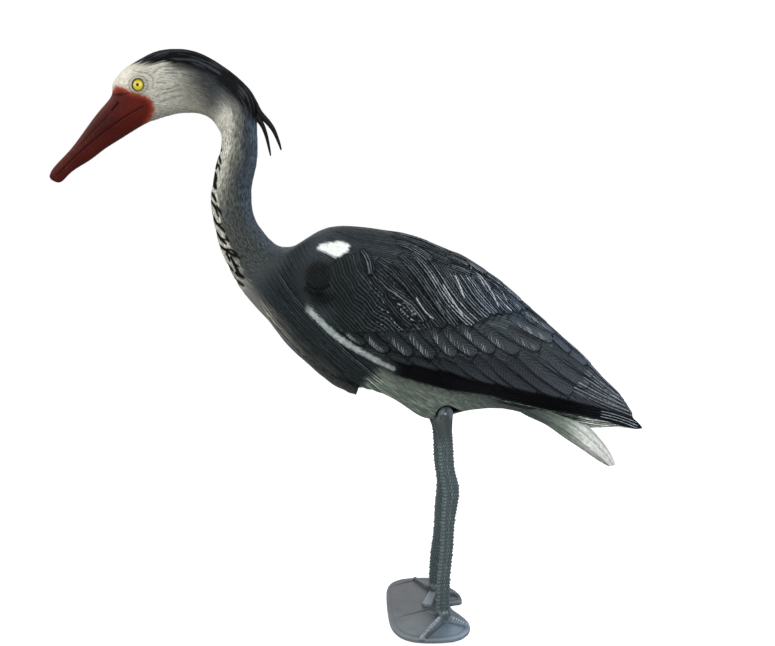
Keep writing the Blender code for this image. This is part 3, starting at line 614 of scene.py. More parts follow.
class Skin:
    """Left half of a form: points, normals and the fields painted on them.

    side is each point as (y, z) in the side view, projected on the mid plane; down runs
    from 0 at the spine to 1 underneath. height is the relief along the normal. barb,
    strand and hair weigh the three kinds of fine texture; the brushed white and comb are
    white laid on, the brushed white being partly painted highlights on ridges, shafts and
    rims; dark is the painted shade in the grooves, bill the bill's finish, and tone the
    lightness of a feather, its own tone with painted light and shade across it.
    feather_at is (along, off the shaft, feather number), hair_at the directions of the
    hair-like texture."""

    def __init__(self, stations, spacing, count, coarse_until=0.0):
        rows, reach, station = rows_through(stations, spacing)
        points, angles = ring_points(rows, count, SEAM)
        arc = np.zeros(angles.shape)
        arc[:, 1:] = np.cumsum(np.sqrt((np.diff(points, axis=1) ** 2).sum(-1)), axis=1)
        # rings before coarse_until keep only every second or fourth point
        strides = [4 if s < min(5.5, coarse_until) else 2 if s < coarse_until else 1
                   for s in station]
        self.keep = [np.arange(0, count, stride) for stride in strides]

        def flat(grid):
            return np.concatenate([grid[i][k] for i, k in enumerate(self.keep)])

        def spread(column):
            return np.concatenate([np.full(len(k), column[i]) for i, k in enumerate(self.keep)])

        self.points, self.normals = flat(points), flat(surface_normals(points))
        self.x = self.points[:, 0]
        self.angle, self.arc = flat(angles), flat(arc)
        self.down = (1 - np.cos(self.angle)) / 2
        self.reach, self.station = spread(reach), spread(station)
        self.row_arc = spread(arc[:, -1])
        self.count = len(self.points)
        scale = VIEWPOINT[0] / (VIEWPOINT[0] - self.x)
        self.side_y = VIEWPOINT[1] + (self.points[:, 1] - VIEWPOINT[1]) * scale
        self.side_z = VIEWPOINT[2] + (self.points[:, 2] - VIEWPOINT[2]) * scale
        self.side = np.stack([self.side_y, self.side_z], -1)
        to_view = VIEWPOINT - self.points
        to_view /= np.linalg.norm(to_view, axis=1)[:, None]
        self.facing = (to_view * self.normals).sum(1)
        for field in ("height", "barb", "strand", "hair", "dry", "comb", "dark", "bill"):
            setattr(self, field, np.zeros(self.count))
        self.tone = np.full(self.count, 0.5)
        self.feather_at = np.zeros((self.count, 3))
        self.hair_at = np.stack([self.reach, self.arc - self.row_arc / 2], -1)
        self.paint = np.zeros((self.count, 3))

    def faces(self):
        out = []
        starts = np.r_[0, np.cumsum([len(k) for k in self.keep])]
        for i in range(len(self.keep) - 1):
            row, after = starts[i], starts[i + 1]
            size, size_after = len(self.keep[i]), len(self.keep[i + 1])
            if size == size_after:
                j = np.arange(size - 1)
                out += np.stack([row + j, row + j + 1, after + j + 1, after + j], -1).tolist()
            else:
                for j in range(size - 1):
                    k = after + 2 * j
                    out.append([row + j, row + j + 1, k + 2, k + 1, k])
            out.append([row, after, after + size_after - 1, row + size - 1])
        out.append(list(range(len(self.keep[0]))))
        out.append(list(range(starts[-1] - 1, starts[-2] - 1, -1)))
        return out

    def at(self, y, z):
        """Point of the near surface seen at (y, z), blended from its nearest points."""
        hidden = np.where(self.facing > 0.02, 0, 400.0)
        gap = (self.side_y - y) ** 2 + (self.side_z - z) ** 2 + hidden
        k = np.argpartition(gap, 4)[:4]
        weight = 1 / (gap[k] + 0.3)
        return (self.points[k] * weight[:, None]).sum(0) / weight.sum()

    def on(self, y, degrees):
        """Point at this distance along the body and angle from the spine."""
        turn = np.abs(self.angle - math.radians(degrees))
        gap = np.where(turn < 0.06, np.abs(self.points[:, 1] - y), 1e9) + turn
        return self.points[np.argmin(gap)]

    def guide(self, points, samples=14):
        """Polyline on the surface through side-view points."""
        line = np.array([self.at(*point) for point in smooth_line(points, samples)])
        line[1:-1] = (line[:-2] + 2 * line[1:-1] + line[2:]) / 4
        return line

    def back_guide(self, stops):
        """Smooth line of 12 points through (y, degrees from the spine) stops."""
        points = np.array([self.on(*stop) for stop in stops])
        knots = np.r_[0, np.cumsum(np.linalg.norm(np.diff(points, axis=0), axis=1))]
        knots = knots + np.arange(len(knots)) * 1e-6
        return natural_spline(knots, points, np.linspace(0, knots[-1], 12))

    def along(self, line, reach):
        """Vertices within reach of a surface polyline: indices, arc, signed offset;
        and the length of the line."""
        low, high = line.min(0) - reach, line.max(0) + reach
        near = np.flatnonzero(((self.points > low) & (self.points < high)).all(1))
        points = self.points[near]
        best = np.full(len(near), 1e9)
        arc = np.zeros(len(near))
        offset = np.zeros(len(near))
        run = 0.0
        last = len(line) - 2
        for k, (start, end) in enumerate(zip(line[:-1], line[1:])):
            length = np.linalg.norm(end - start)
            if length < 1e-6:
                continue
            ahead = (end - start) / length
            rel = points - start
            part = rel @ ahead
            # the first and last pieces run on past the ends
            part = np.clip(part, -1e9 if k == 0 else 0, 1e9 if k == last else length)
            perp = rel - part[:, None] * ahead
            on_piece = np.clip(part, 0, length)[:, None] * ahead
            distance = np.linalg.norm(rel - on_piece, axis=1)
            closer = distance < best
            best = np.where(closer, distance, best)
            arc = np.where(closer, run + part, arc)
            sign = np.sign((np.cross(ahead, perp) * self.normals[near]).sum(1))
            offset = np.where(closer, sign * np.linalg.norm(perp, axis=1), offset)
            run += length
        within = best < reach
        return near[within], arc[within], offset[within], run

    def feather(self, line, half, number, tone, level, lift=1.2, crown=0.45, tilt=0.35,
                strands=False, blunt=1.0, comb=0.0, dry=0.0, edge=0.0, root_fade=0.12):
        """One feather laid over what is there. Positive offset is the lower side.

        level and lift set its height at root and tip, crown and tilt its section, blunt
        the length of its tip; comb, the brushed white and edge its white barbs, shaft and
        rim, the white of shaft and rim being painted highlights."""
        idx, arc, offset, length = self.along(line, half + 4.0)
        tip = blunt * half
        width = half * (0.7 + 0.3 * np.clip(arc / (0.35 * length), 0, 1))
        into_tip = np.clip((arc - (length - tip)) / tip, 0, 1)
        width = width * np.sqrt(np.clip(1 - into_tip**2, 0, 1))
        depth = np.where(arc > length, -(arc - length) - 0.3, width - np.abs(offset))
        depth = np.where(arc < 0, -1 - np.abs(arc), depth)
        inside = rise(-0.5, 0.5, depth) * rise(0, root_fade * length + 0.01, arc)
        x = np.clip(offset / half, -1, 1)
        part = np.clip(arc / length, 0, 1)
        height = (
            level + lift * part**1.2 + crown * (1 - x * x) + tilt * x
            - 0.5 * decay(depth, 0.7)
        )
        # painted light and shade across the feather: lighter on its upper side and towards the
        # tip, darker at the root and lower side
        shade = tone - 0.26 * x + 0.30 * (part - 0.6)
        for field, value in (
            (self.height, height), (self.tone, shade), (self.barb, float(not strands)),
            (self.strand, float(strands)), (self.hair, 0.0), (self.dark, 0.0),
            (self.comb, 0.0), (self.dry, 0.0),
        ):
            field[idx] = field[idx] * (1 - inside) + value * inside
        hard = inside > 0.5
        labels = [arc[hard], offset[hard], np.full(hard.sum(), number)]
        self.feather_at[idx[hard]] = np.stack(labels, -1)
        # shadow just outside the rim
        shadow = bell(np.clip(-depth, 0, None), 1.9) * (1 - inside) * rise(0.12, 0.45, part)
        self.dark[idx] = np.maximum(self.dark[idx], shadow)
        rim = bell(np.clip(depth, 0, None) - 0.9, 0.8) * inside * rise(0.3, 0.7, part)
        if strands:
            patch = rise(0.22, 0.60, part) * fall(0.93, 1.0, part) * inside
        else:
            patch = rise(0.18, 0.40, part) * fall(0.72, 0.95, part)
            patch = patch * rise(-0.15, 0.35, -x) * inside
        shaft = bell(offset, 0.8) * inside * rise(0.1, 0.4, part) * fall(0.85, 1, part)
        self.comb[idx] = np.maximum(self.comb[idx], comb * patch)
        # white of rim and shaft: painted highlights where they catch the light
        self.dry[idx] = np.maximum(self.dry[idx], np.maximum(edge * rim, dry * shaft))

    def line_weight(self, points, samples, width, fade):
        """Indices and weight of a soft line through side-view points."""
        idx, arc, offset, length = self.along(self.guide(points, samples), width * 3)
        ends = rise(0, fade, arc) * fall(length - fade, length, arc)
        return idx, bell(offset, width) * ends

    def groove(self, points, depth, width, dark=0.0, fade=3.0):
        """A carved line, darkened with painted shade by dark; negative depth makes a ridge."""
        idx, weight = self.line_weight(points, max(12, 6 * len(points)), width, fade)
        self.height[idx] -= depth * weight
        self.dark[idx] = np.maximum(self.dark[idx], dark * weight)

    def stroke(self, points, strength, width):
        """A brushed white line, a painted highlight."""
        idx, weight = self.line_weight(points, 18, width, fade=4.0)
        self.dry[idx] = np.maximum(self.dry[idx], strength * weight)

    def darken(self, amount):
        self.dark = np.maximum(self.dark, amount)

    def coat(self, tint, weight):
        self.paint = mix(self.paint, tint, weight)

    def shade(self, gain):
        self.paint = self.paint * gain[:, None]


# ------------------------------------------------------------------ body relief
def above(skin, line, soft):
    """0 below to 1 above a front-to-rear side-view polyline."""
    return rise(-soft, soft, skin.side_z - np.interp(skin.side_y, *np.transpose(line)))


def breast_directions(skin):
    """Distance along the breast guide and signed distance off it."""
    gap, arc, side = polyline_distance(skin.side, smooth_line(BREAST_GUIDE, 40))
    return arc, np.sign(side) * gap


def breast_wave(along, off):
    """Distance off the breast guide, made to wander."""
    return off + 1.6 * (fractal(along / 35, off / 35, seed=13) - 0.5) + 0.5 * np.sin(along / 11.0)


def carpal_hatching(y, z, pitch, power):
    """Two sets of crossing lines through the carpal patch."""
    y, z = y - CARPAL_Y, z - CARPAL_Z
    first, second = y * 0.72 + z * 0.69, y * 0.80 - z * 0.60
    lines = [np.abs(np.cos(math.pi * way / pitch)) ** power for way in (first, second)]
    return np.clip(lines[0] + lines[1], 0, 1)


def body_zones(skin):
    """Weights and distances that mark out the regions of the bird; sets hair_at."""
    y, z, station = skin.side_y, skin.side_z, skin.station
    zone = SimpleNamespace(down=skin.down)
    zone.trunk = rise(26.5, 30.5, station)
    zone.neck = rise(16.0, 19.0, station) * (1 - zone.trunk)
    zone.head = fall(16.0, 19.0, station)
    zone.bill_gap = polygon_distance(skin.side, BILL_REGION)
    zone.bill_ragged = zone.bill_gap + 1.4 * (fractal(y * 0.35, z * 0.35, seed=3) - 0.5) * 2
    zone.bill = fall(-2.2, 2.2, zone.bill_ragged)
    zone.face = zone.head * (1 - zone.bill)
    # the wing has a crisp edge low down and fades out towards the shoulder
    distance, _, side = polyline_distance(skin.side, WING_EDGE)
    zone.wing_gap = np.where(side > 0, distance, -distance)
    soft = np.interp(z, [345, 362, 385, 420], [0.9, 3.0, 12, 20])
    zone.wing = rise(-soft, soft, zone.wing_gap) * zone.trunk
    zone.crisp = fall(345, 375, z)
    zone.below_wing = decay(-zone.wing_gap, 9.0)
    # hair-like relief follows the breast guide at the front
    zone.breast = rise(28.0, 31.0, station) * (1 - zone.wing) * fall(-75, -40, y)
    on_breast = (zone.breast > 0.5)[:, None]
    skin.hair_at = np.where(on_breast, np.stack(breast_directions(skin), -1), skin.hair_at)
    zone.along, zone.off = skin.hair_at.T
    zone.calm = np.abs(2 * zone.breast - 1) ** 1.5
    zone.wave = breast_wave(zone.along, zone.off)
    zone.eye_gap = np.hypot(y - -352.9, z - 622.4)
    zone.carpal_gap = np.hypot(y - CARPAL_Y, (z - CARPAL_Z) * 0.95)
    zone.carpal = fall(12.5, 20.0, zone.carpal_gap) * (skin.x > 10)
    return zone


def ground_relief(skin, zone):
    """Relief and strand texture where no separate feathers lie."""
    y, z, along, off = skin.side_y, skin.side_z, zone.along, zone.off
    trunk, neck, face, breast = zone.trunk, zone.neck, zone.face, zone.breast
    # trimmed so that the finished outline keeps the moulded size
    skin.height -= 0.5 * trunk + 0.25 * neck + 0.2 * face
    coarse = fractal(along / 13.0, off / 2.6, seed=7) - 0.5
    fine = fractal(along / 7.0, off / 1.7, seed=8) - 0.5
    curl = 1.3 * np.sin(along / 7.0 + 3 * fractal(along / 20, off / 20, seed=9))
    hairs = fractal(along / 9.0, (off + curl) / 2.1, seed=10) - 0.5
    skin.height += 0.9 * hairs * neck + 0.45 * fine * neck
    skin.height += 0.35 * (fractal(along / 5.0, (off + curl) / 1.9, seed=12) - 0.5) * face
    # crown drawn in
    length = rise(8.5, 10.5, skin.station) * fall(15.0, 18.0, skin.station)
    skin.height -= 1.5 * face * fall(0.25, 0.6, zone.down) * length
    # wavering rows over the face, with painted shade in some of their troughs
    waver = 1.5 * np.sin(y / 7.5 + 2.0 * noise(y / 14, z / 9, 17))
    rows = z + 0.16 * (y + 340) + waver + 3.0 * (noise(y / 17, z / 17, 18) - 0.5)
    face_rows = face * rise(0.16, 0.34, zone.down)
    row = ripple(rows, 3.3)
    skin.height += 0.30 * (row**1.5 - 0.5) * face_rows
    skin.darken(0.30 * face_rows * fall(0.0, 0.32, row) * rise(0.35, 0.6, noise(y / 6, z / 3, 19)))
    # breast grooves
    groove = ripple(zone.wave, BREAST_PITCH)
    depth = 0.85 + 0.3 * (noise(off / BREAST_PITCH, along / 45, 14) - 0.5)
    skin.height += breast * zone.calm * (depth * (groove**0.7 - 0.6) + 0.35 * fine)
    belly = trunk * (1 - zone.wing) * (1 - breast)
    skin.height += belly * zone.calm * (0.55 * coarse + 0.3 * fine)
    skin.hair[:] = np.clip(1.15 * neck + 0.42 * face + 1.3 * trunk, 0, 1.5)

    skin.feather_at[:] = np.stack([along, off, np.full(skin.count, 90.0)], -1)
    settled = np.maximum(
        rise(0.75, 1.0, breast), fall(0.0, 0.08, breast) * rise(30.5, 33, skin.station)
    )
    settled = settled * np.where((zone.wing < 0.5) & (breast < 0.5), 0.25, 1.0)
    settled = settled * (0.55 + 0.45 * rise(0.35, 0.6, noise(along / 26, off / 7, 81)))
    amount = np.where(zone.wing > 0.5, 0.40, np.where(breast > 0.5, 0.52, 0.34))
    skin.strand[:] = trunk * settled * amount
    skin.hair *= (1 - 0.5 * trunk) * zone.calm

    # wing plate standing over the flank
    crisp = zone.crisp * trunk
    skin.height += rise(-1.0, 1.4, zone.wing_gap) * crisp * 1.5
    skin.height -= 0.5 * bell(zone.wing_gap + 1.8, 1.8) * crisp
    mantle = zone.wing * fall(-60, 0, y)
    skin.height += mantle * 0.5 * (fractal(skin.points[:, 1] / 12, off / 2.4, seed=15) - 0.5)


def carve_lesser_coverts(skin, zone):
    """A fan of long wavy ridges, each one overlapping the next."""
    y = skin.side_y
    region = fall(-4.0, 3.0, polygon_distance(skin.side, LESSER_REGION))
    region *= (skin.facing > -0.1) * zone.wing
    gap, arc, side = polyline_distance(skin.side, smooth_line(LESSER_GUIDE, 60))
    off = np.sign(side) * gap
    waver = 0.9 * np.sin(arc / 5.2 + 2.4 * noise(off / 9, arc / 30, 71))
    off = off + waver + 2.2 * (noise(arc / 16, off / 12, 72) - 0.5)
    pitch = 3.9
    phase = off / pitch + 0.3 * noise(arc / 25, off / 20, 73)
    ridge = np.floor(phase)
    saw = phase - ridge
    broken = 0.55 + 0.45 * rise(0.25, 0.6, noise(arc / 28 + 3.7 * ridge, ridge * 1.3, 74))
    relief = 1.35 * (1 - saw) ** 1.3 * broken * (0.45 + 0.55 * rise(-118, -70, y))
    shadow = (0.55 + 0.35 * rise(-118, -70, y)) * rise(0.60, 0.92, saw) * broken
    lit = rise(-110, -40, y) * rise(0.35, 0.6, noise(arc / 26, ridge * 2.7, 83))
    light = bell(saw - 0.10, 0.13) * broken * region * (0.20 + 0.72 * lit)
    rest = 1 - region
    skin.height = skin.height * rest + region * (1.1 + relief)
    skin.barb *= rest
    skin.hair *= 1 - 0.6 * region
    inside = region > 0.5
    skin.feather_at[inside] = np.stack([arc, (0.5 - saw) * pitch, ridge], -1)[inside]
    skin.strand = skin.strand * rest + region * (0.30 + 0.42 * rise(-118, -60, y))
    skin.tone = skin.tone * rest + region * 0.5
    skin.dark = np.maximum(skin.dark * rest, region * shadow)
    skin.dry = np.maximum(skin.dry * rest, light)


def lay_feathers(skin, zone):
    """The separate feathers, lowest first."""
    rng = np.random.RandomState(5)
    numbers = counter(1)

    def lay(line, half, tone=0.5, **look):
        tone = tone + rng.uniform(-0.12, 0.12)
        skin.feather(line, half, float(next(numbers)), tone, **look)

    def lay_back(starts, degrees, before, behind, narrow, widen, half, **look):
        """Rows over the back; narrow and widen scale the angle at root and tip."""
        for y in starts:
            for angle in degrees:
                stops = (y - before, angle * narrow), (y - 4, angle), (y + behind, angle * widen)
                lay(skin.back_guide(stops), half, **look)

    # primaries: long blades down to the rear point
    for i in range(5):
        line = [(60, 262 - 3.2 * i), (130, 248 - 3.4 * i), (200, 233 - 3.0 * i),
                (246 + 1.2 * i, 223 - 1.8 * i)]
        lay(skin.guide(line), 4.2, level=0.4 + 0.1 * i, lift=0.9, crown=0.3, strands=True,
            blunt=1.8)
    for i, line in enumerate(REAR):
        lay(skin.guide(line), 4.6, tone=0.55, level=1.0 + 0.12 * i, lift=1.0, crown=0.35,
            blunt=1.6, edge=0.55, dry=0.40)
    lay_back((196, 176, 156), (18, 34, 50), before=24, behind=22, narrow=0.9, widen=1.05,
             half=6.4, level=1.0, blunt=1.3, edge=0.25)
    for i, line in enumerate(TERTIALS):
        lay(skin.guide(line), 6.6 if i > 3 else 5.4, tone=0.47 + 0.015 * i, level=1.0,
            lift=1.4, crown=0.4, tilt=0.5, edge=0.22)
    lay_back((150, 128, 106, 84), (12, 27, 42), before=30, behind=26, narrow=1, widen=1,
             half=6.8, tone=0.6, level=1.1, lift=1.4, blunt=1.2, edge=0.3)
    for line in UPPER_LONG:
        lay(skin.guide(line), 6.6, tone=0.66, level=1.2, lift=1.5, edge=0.55, comb=1.0)
    for i, line in enumerate(GREATER):
        lay(skin.guide(line), 6.6 if i > 1 else 5.0, tone=0.52 + 0.02 * i, level=1.2,
            lift=1.5, tilt=0.4, comb=0.95, edge=0.12, blunt=1.15)
    carve_lesser_coverts(skin, zone)
    for i, line in enumerate(SCAPULARS):
        lay(skin.guide(line), 6.2 if i > 2 else 4.5, tone=0.46 + 0.02 * i, level=1.4,
            lift=1.3, crown=0.6, tilt=0.45, strands=True, blunt=1.6, edge=0.14 + 0.02 * i,
            comb=0.0 if i == 2 else 0.10 + 0.085 * i, root_fade=0.30)
    # the rows nearer the neck lie flatter and plainer
    for starts, level, lift, edge, comb in (
        ((74, 52, 30), 1.5, 1.2, 0.22, 0.55), ((8, -14, -36), 0.6, 0.7, 0.05, 0.1),
    ):
        lay_back(starts, (10, 24, 38), before=30, behind=24, narrow=0.95, widen=1.05,
                 half=6.4, level=level, lift=lift, crown=0.5, strands=True, blunt=1.5,
                 edge=edge, comb=comb, root_fade=0.45)


def trim_outline(skin, zone):
    """Draw the surface in where the feathers have built it up."""
    y, z, down, trunk = skin.side_y, skin.side_z, zone.down, zone.trunk
    skin.height -= 1.9 * zone.wing
    skin.height -= 2.6 * rise(40, 170, y) * fall(0.12, 0.42, down) * trunk
    skin.height -= 1.5 * zone.below_wing * (1 - zone.wing) * zone.crisp * trunk
    skin.height -= 2.6 * spot(y, z, centre=(244, 228.5), size=(4.5, 4.0))


def carve_head(skin, zone):
    for depth, width, dark, fade, line in BILL_LINES:
        skin.groove(line, depth, width, dark, fade)
    for line in CHEEK_LINES:
        skin.groove(line, depth=0.7, width=0.75, dark=0.5)
    # the face stands over the bill
    skin.height += 0.6 * rise(0.0, 2.2, zone.bill_ragged) * zone.head * fall(8, 30, zone.bill_gap)
    # eyelid and the furrow round it
    near_eye = (skin.x > 8) & (zone.eye_gap < 16)
    lid = 0.7 * bell(zone.eye_gap - 8.6, 1.0) - 0.5 * bell(zone.eye_gap - 10.6, 0.9)
    skin.height += np.where(near_eye, lid, 0)


def carve_carpal(skin, zone):
    """Shallow dish with crossing lines, and creases below it, with painted shade in the creases
    and a painted highlight just above the first.
    """
    patch = zone.carpal
    hatching = carpal_hatching(skin.side_y, skin.side_z, pitch=3.1, power=6)
    skin.height += patch * (0.55 * hatching - 0.5 * (1 - (zone.carpal_gap / 19) ** 2))
    for field in (skin.barb, skin.strand, skin.dry):
        field *= 1 - patch

    def arc_line(centre_z, radius_y, radius_z, degrees):
        return [(CARPAL_Y + radius_y * math.cos(t), centre_z + radius_z * math.sin(t))
                for t in np.radians(degrees)]

    crease = arc_line(398.6, 17.0, 16.0, [205, 230, 255, 280, 305, 330])
    skin.groove(crease, depth=1.4, width=1.3, dark=1.0)
    skin.stroke([(y, z + 2.8) for y, z in crease], strength=0.12, width=1.0)
    lower = arc_line(398, 22, 21, [215, 240, 265, 290])
    skin.groove(lower, depth=0.7, width=4.0, dark=0.75)


def brush_highlights(skin):
    # painted highlights along the edges of the stacked blades at the rear
    for line in REAR:
        for shift, strength in ((0.0, 0.8), (-3.6, 0.55)):
            skin.stroke([(y + 0.35 * shift, z + shift) for y, z in line], strength, width=0.8)
    # painted highlights along the primaries towards the rear point
    for drop in (0.0, 3.4, 6.6):
        line = [(196, 236.5 - drop), (224, 229.5 - drop), (247, 220.5 - drop)]
        skin.stroke(line, strength=0.75, width=0.7)
    for line, strength in SCAPULAR_STROKES:
        skin.stroke(line, strength, width=0.9)


# ------------------------------------------------------------------ body paint
def paint_trunk(skin, zone):
    y, z, along, off, streak = skin.side_y, skin.side_z, zone.along, zone.off, zone.streak
    skin.paint = mix(rgb(62, 68, 72), rgb(52, 57, 60), rise(-40, 120, y))
    skin.coat(rgb(36, 42, 43), zone.breast)
    ridge = ripple(zone.wave, BREAST_PITCH)
    # breast ridges painted lighter and its grooves darker: painted light and shade
    skin.shade(1 + zone.breast * (0.9 * (ridge - 0.5) * noise(off / 8, along / 30, 38)))
    # light streaks down the front of the breast
    front = polyline_distance(skin.side, FRONT_LINE)[0]
    light = fall(2, 17, front + 7 * (streak - 0.5)) * zone.breast
    up = rise(285, 400, z)
    tint = mix(rgb(84, 82, 76), rgb(150, 148, 138), up)
    skin.coat(tint, light * (0.45 + 0.55 * up))
    # flecked pale underside, with painted shade towards its rear and a painted shadow under the
    # wing
    border = np.interp(z, [250, 265.4, 285.7, 300], [-93, -89, -74, -50])
    behind = rise(-8, 8, y - border + 16 * (streak - 0.5))
    fleck = fractal((y * 0.84 - z * 0.54) / 10, (y * 0.54 + z * 0.84) / 1.5, seed=84)
    shadow = zone.below_wing * (0.40 + 0.60 * rise(0.40, 0.56, fleck)) * fall(120, 175, y)
    pale = layered(
        rgb(96, 106, 97),
        (rgb(142, 151, 139), rise(0.35, 0.65, fleck) * 0.8),
        (rgb(58, 68, 64), rise(30, 110, y) * fall(150, 185, y) * 0.8),
        (rgb(30, 32, 29), shadow),
        (rgb(186, 190, 182), rise(165, 190, y)),
    )
    skin.coat(pale, (1 - zone.wing) * zone.trunk * behind)


def paint_wing(skin, zone):
    y, z = skin.side_y, skin.side_z
    upper = above(skin, UPPER_WING_EDGE, 8)
    # the scapulars turn bluer and lighter towards the rear, partly a painted reflection
    scapular = mix(rgb(46, 51, 54), rgb(62, 70, 82), rise(10, 120, y))
    coverts = layered(
        rgb(29, 35, 35),
        (rgb(50, 55, 57), rise(-130, -20, y)),
        (rgb(64, 70, 73), rise(0, 90, y) * rise(270, 330, z)),
        (rgb(60, 64, 69), fall(280, 320, z) * rise(0, 60, y)),
        # bluish near the spine towards the rear: a painted reflection
        (rgb(80, 90, 104), rise(90, 200, y) * fall(0.08, 0.26, zone.down) * 0.7),
        (scapular, upper * 0.8),
    )
    skin.coat(coverts, zone.wing * rise(-150, -110, y))
    # black band along the lower wing, with a painted bluish reflection at its rear end
    band = above(skin, BAND_BOTTOM, 1.1) * (1 - above(skin, BAND_TOP, 2.0))
    band = band * rise(-66, -40, y) * (skin.x > 2)
    skin.coat(rgb(4, 4, 6), band)
    skin.coat(rgb(28, 36, 52), band * rise(150, 235, y) * 0.7)
    skin.barb *= 1 - 0.6 * band
    skin.dry *= 1 - band * fall(190, 205, y)
    skin.comb *= 1 - band


def paint_shoulder(skin, zone):
    """Carpal patch and the shade round and below it."""
    y, z = skin.side_y, skin.side_z
    outer = skin.x > 8
    shoulder = spot(y, z, centre=(-143, 398), size=(24, 26)) * outer
    skin.coat(rgb(24, 27, 27), np.clip(shoulder * 1.1, 0, 0.9))
    skin.coat(rgb(13, 15, 15), zone.carpal * 0.85)
    skin.shade(1 + zone.carpal * 1.1 * carpal_hatching(y, z, pitch=4.2, power=5))
    shade = spot(y, z, centre=(-137, 372), size=(18, 11)) * outer
    skin.coat(rgb(10, 11, 12), np.clip(shade, 0, 0.85))


def paint_neck(skin, zone):
    station = skin.station
    down = zone.down + 0.16 * (zone.streak - 0.5)
    # bluish along the back edge, here and lower down: the grey of the neck with a painted rim
    # highlight
    lower = mix(rgb(70, 78, 86), rgb(60, 64, 62), rise(0.10, 0.3, down))
    front = fall(0.66, 0.84, down - 0.10 * rise(25, 29, station))
    neck = layered(
        rgb(78, 90, 102),
        (rgb(62, 69, 73), rise(0.03, 0.16, down)),
        (rgb(112, 112, 103), rise(0.26, 0.50, down)),
        (rgb(196, 194, 181), rise(0.48, 0.70, down)),
        (lower, rise(19.5, 25.0, station) * front * 0.95),
    )
    weight = np.clip(zone.neck + (1 - zone.trunk) * rise(14.0, 17.5, station), 0, 1)
    skin.coat(neck, weight * fall(26, 31.5, station))


def paint_head(skin, zone):
    y, z, station = skin.side_y, skin.side_z, skin.station
    nape = rise(-316, -268, y + 10 * (zone.streak - 0.5) + 0.55 * (z - 620))
    face = layered(
        rgb(186, 183, 170),
        (rgb(214, 207, 191), rise(-345, -372, y)),
        (rgb(140, 136, 122), fall(586, 603, z) * 0.8),
        (rgb(146, 144, 132), rise(-330, -290, y) * 0.7),
        (rgb(50, 53, 54), nape * rise(590, 612, z + (y + 300) * 0.30)),
    )
    skin.coat(face, zone.head * fall(14.0, 17.5, station))
    # black crown with a streaked edge and a few grey hairs
    thin = noise(zone.along / 16, zone.off / 1.5, 37)
    soft = np.interp(y, [-360, -330, -290, -230], [4.0, 2.5, 5.0, 9.0])
    over = z - np.interp(y, *np.transpose(CROWN_EDGE)) + 8 * (thin - 0.5)
    crown = rise(-soft, soft, over) * (y < -212) * (station < 20) * (station > 6)
    crown = crown * rise(-377, -366, y + 12 * (thin - 0.5))
    grey = 0.5 * rise(0.55, 0.8, thin) * rise(0.0, 0.08, zone.down)
    skin.coat(mix(rgb(9, 10, 11), rgb(70, 74, 78), grey), crown)


def paint_bill(skin, zone):
    y, z, down, station = skin.side_y, skin.side_z, zone.down, skin.station
    bill = layered(
        rgb(82, 30, 24),
        (rgb(66, 21, 16), rise(-450, -400, y) * 0.9),
        # lighter along the top ridge: a painted highlight
        (rgb(104, 58, 48), rise(0.34, 0.08, down) * 0.75),
        (rgb(96, 32, 25), rise(-390, -350, y) * 0.9),
        (rgb(84, 28, 21), rise(0.62, 0.80, down) * 0.6),
        # brighter fringe where the bill meets the face
        (rgb(152, 58, 42), bell(zone.bill_gap + 1.6, 3.4) * (station > 5.5) * 0.85),
    )
    skin.coat(bill * (0.80 + 0.18 * zone.blotch[:, None]), zone.bill)
    halo = decay(zone.bill_gap, 2.6) * zone.face * (station > 6)
    skin.coat(rgb(150, 84, 70), 0.6 * halo * rise(0.2, 0.7, fractal(y / 3, z / 3, seed=36)))
    skin.hair *= 1 - zone.bill


def paint_dashes(skin, zone):
    """Dark dashes down the neck front, set as slanting strokes."""
    for line, width in DASHES:
        gap, arc, _ = polyline_distance(skin.side, line)
        total = sum(math.dist(start, end) for start, end in zip(line[:-1], line[1:]))
        taper = np.interp(arc / total, [0, 0.25, 0.7, 1.0], [0.7, 1.0, 1.0, 0.5])
        half = 1.4 * width * taper
        dash = fall(half * 0.7, half + 0.7, gap + 0.5 * (zone.streak - 0.5))
        dash = dash * (skin.facing > -0.5) * (skin.station < 30) * (skin.station > 17)
        skin.coat(rgb(9, 9, 11), dash)
        skin.height -= 0.25 * dash


def paint_white(skin, zone):
    """White shoulder patch and the stripe along the wing's leading edge."""
    outer = skin.x > 5
    gap = polygon_distance(skin.side, WHITE_PATCH) + 4.0 * (zone.streak - 0.5)
    white = fall(-2.2, 2.4, gap) * outer * zone.trunk
    skin.coat(rgb(230, 232, 226), white)
    gap, arc, _ = polyline_distance(skin.side, smooth_line(LEADING_STRIPE, 40))
    half = np.interp(arc, [0, 8, 60, 110, 140], [2.2, 3.3, 3.2, 2.6, 1.4])
    ragged = gap + 2.2 * (noise(arc / 1.8, gap / 1.8, 44) - 0.5)
    stripe = fall(half - 1.6, half + 2.0, ragged) * outer * rise(-2, 10, arc)
    worn = (0.60 + 0.40 * noise(arc / 2.2, gap / 1.5, 45)) * (1 - 0.3 * rise(70, 140, arc))
    skin.coat(rgb(178, 187, 182), stripe * worn)
    both = white + stripe
    skin.dark *= 1 - np.clip(both, 0, 1)
    skin.comb *= 1 - np.clip(both, 0, 1)
    skin.strand *= 1 - np.clip(1.6 * both, 0, 1)
    skin.barb *= 1 - np.clip(1.6 * both, 0, 1)
    skin.hair *= 1 - 0.4 * np.clip(both, 0, 1)


def paint_eye_ring(skin, zone):
    gap = zone.eye_gap
    cheek = (skin.x > 8) * (gap < 14)
    skin.coat(rgb(176, 170, 150), bell(gap - 9.2, 1.3) * cheek * 0.6)
    # dark lines at the socket edge and in the lid's furrow: painted shade
    rims = bell(gap - 10.9, 0.8) + 0.8 * bell(gap - 7.7, 0.6)
    skin.coat(rgb(74, 66, 50), np.clip(rims, 0, 1) * cheek * 0.5)


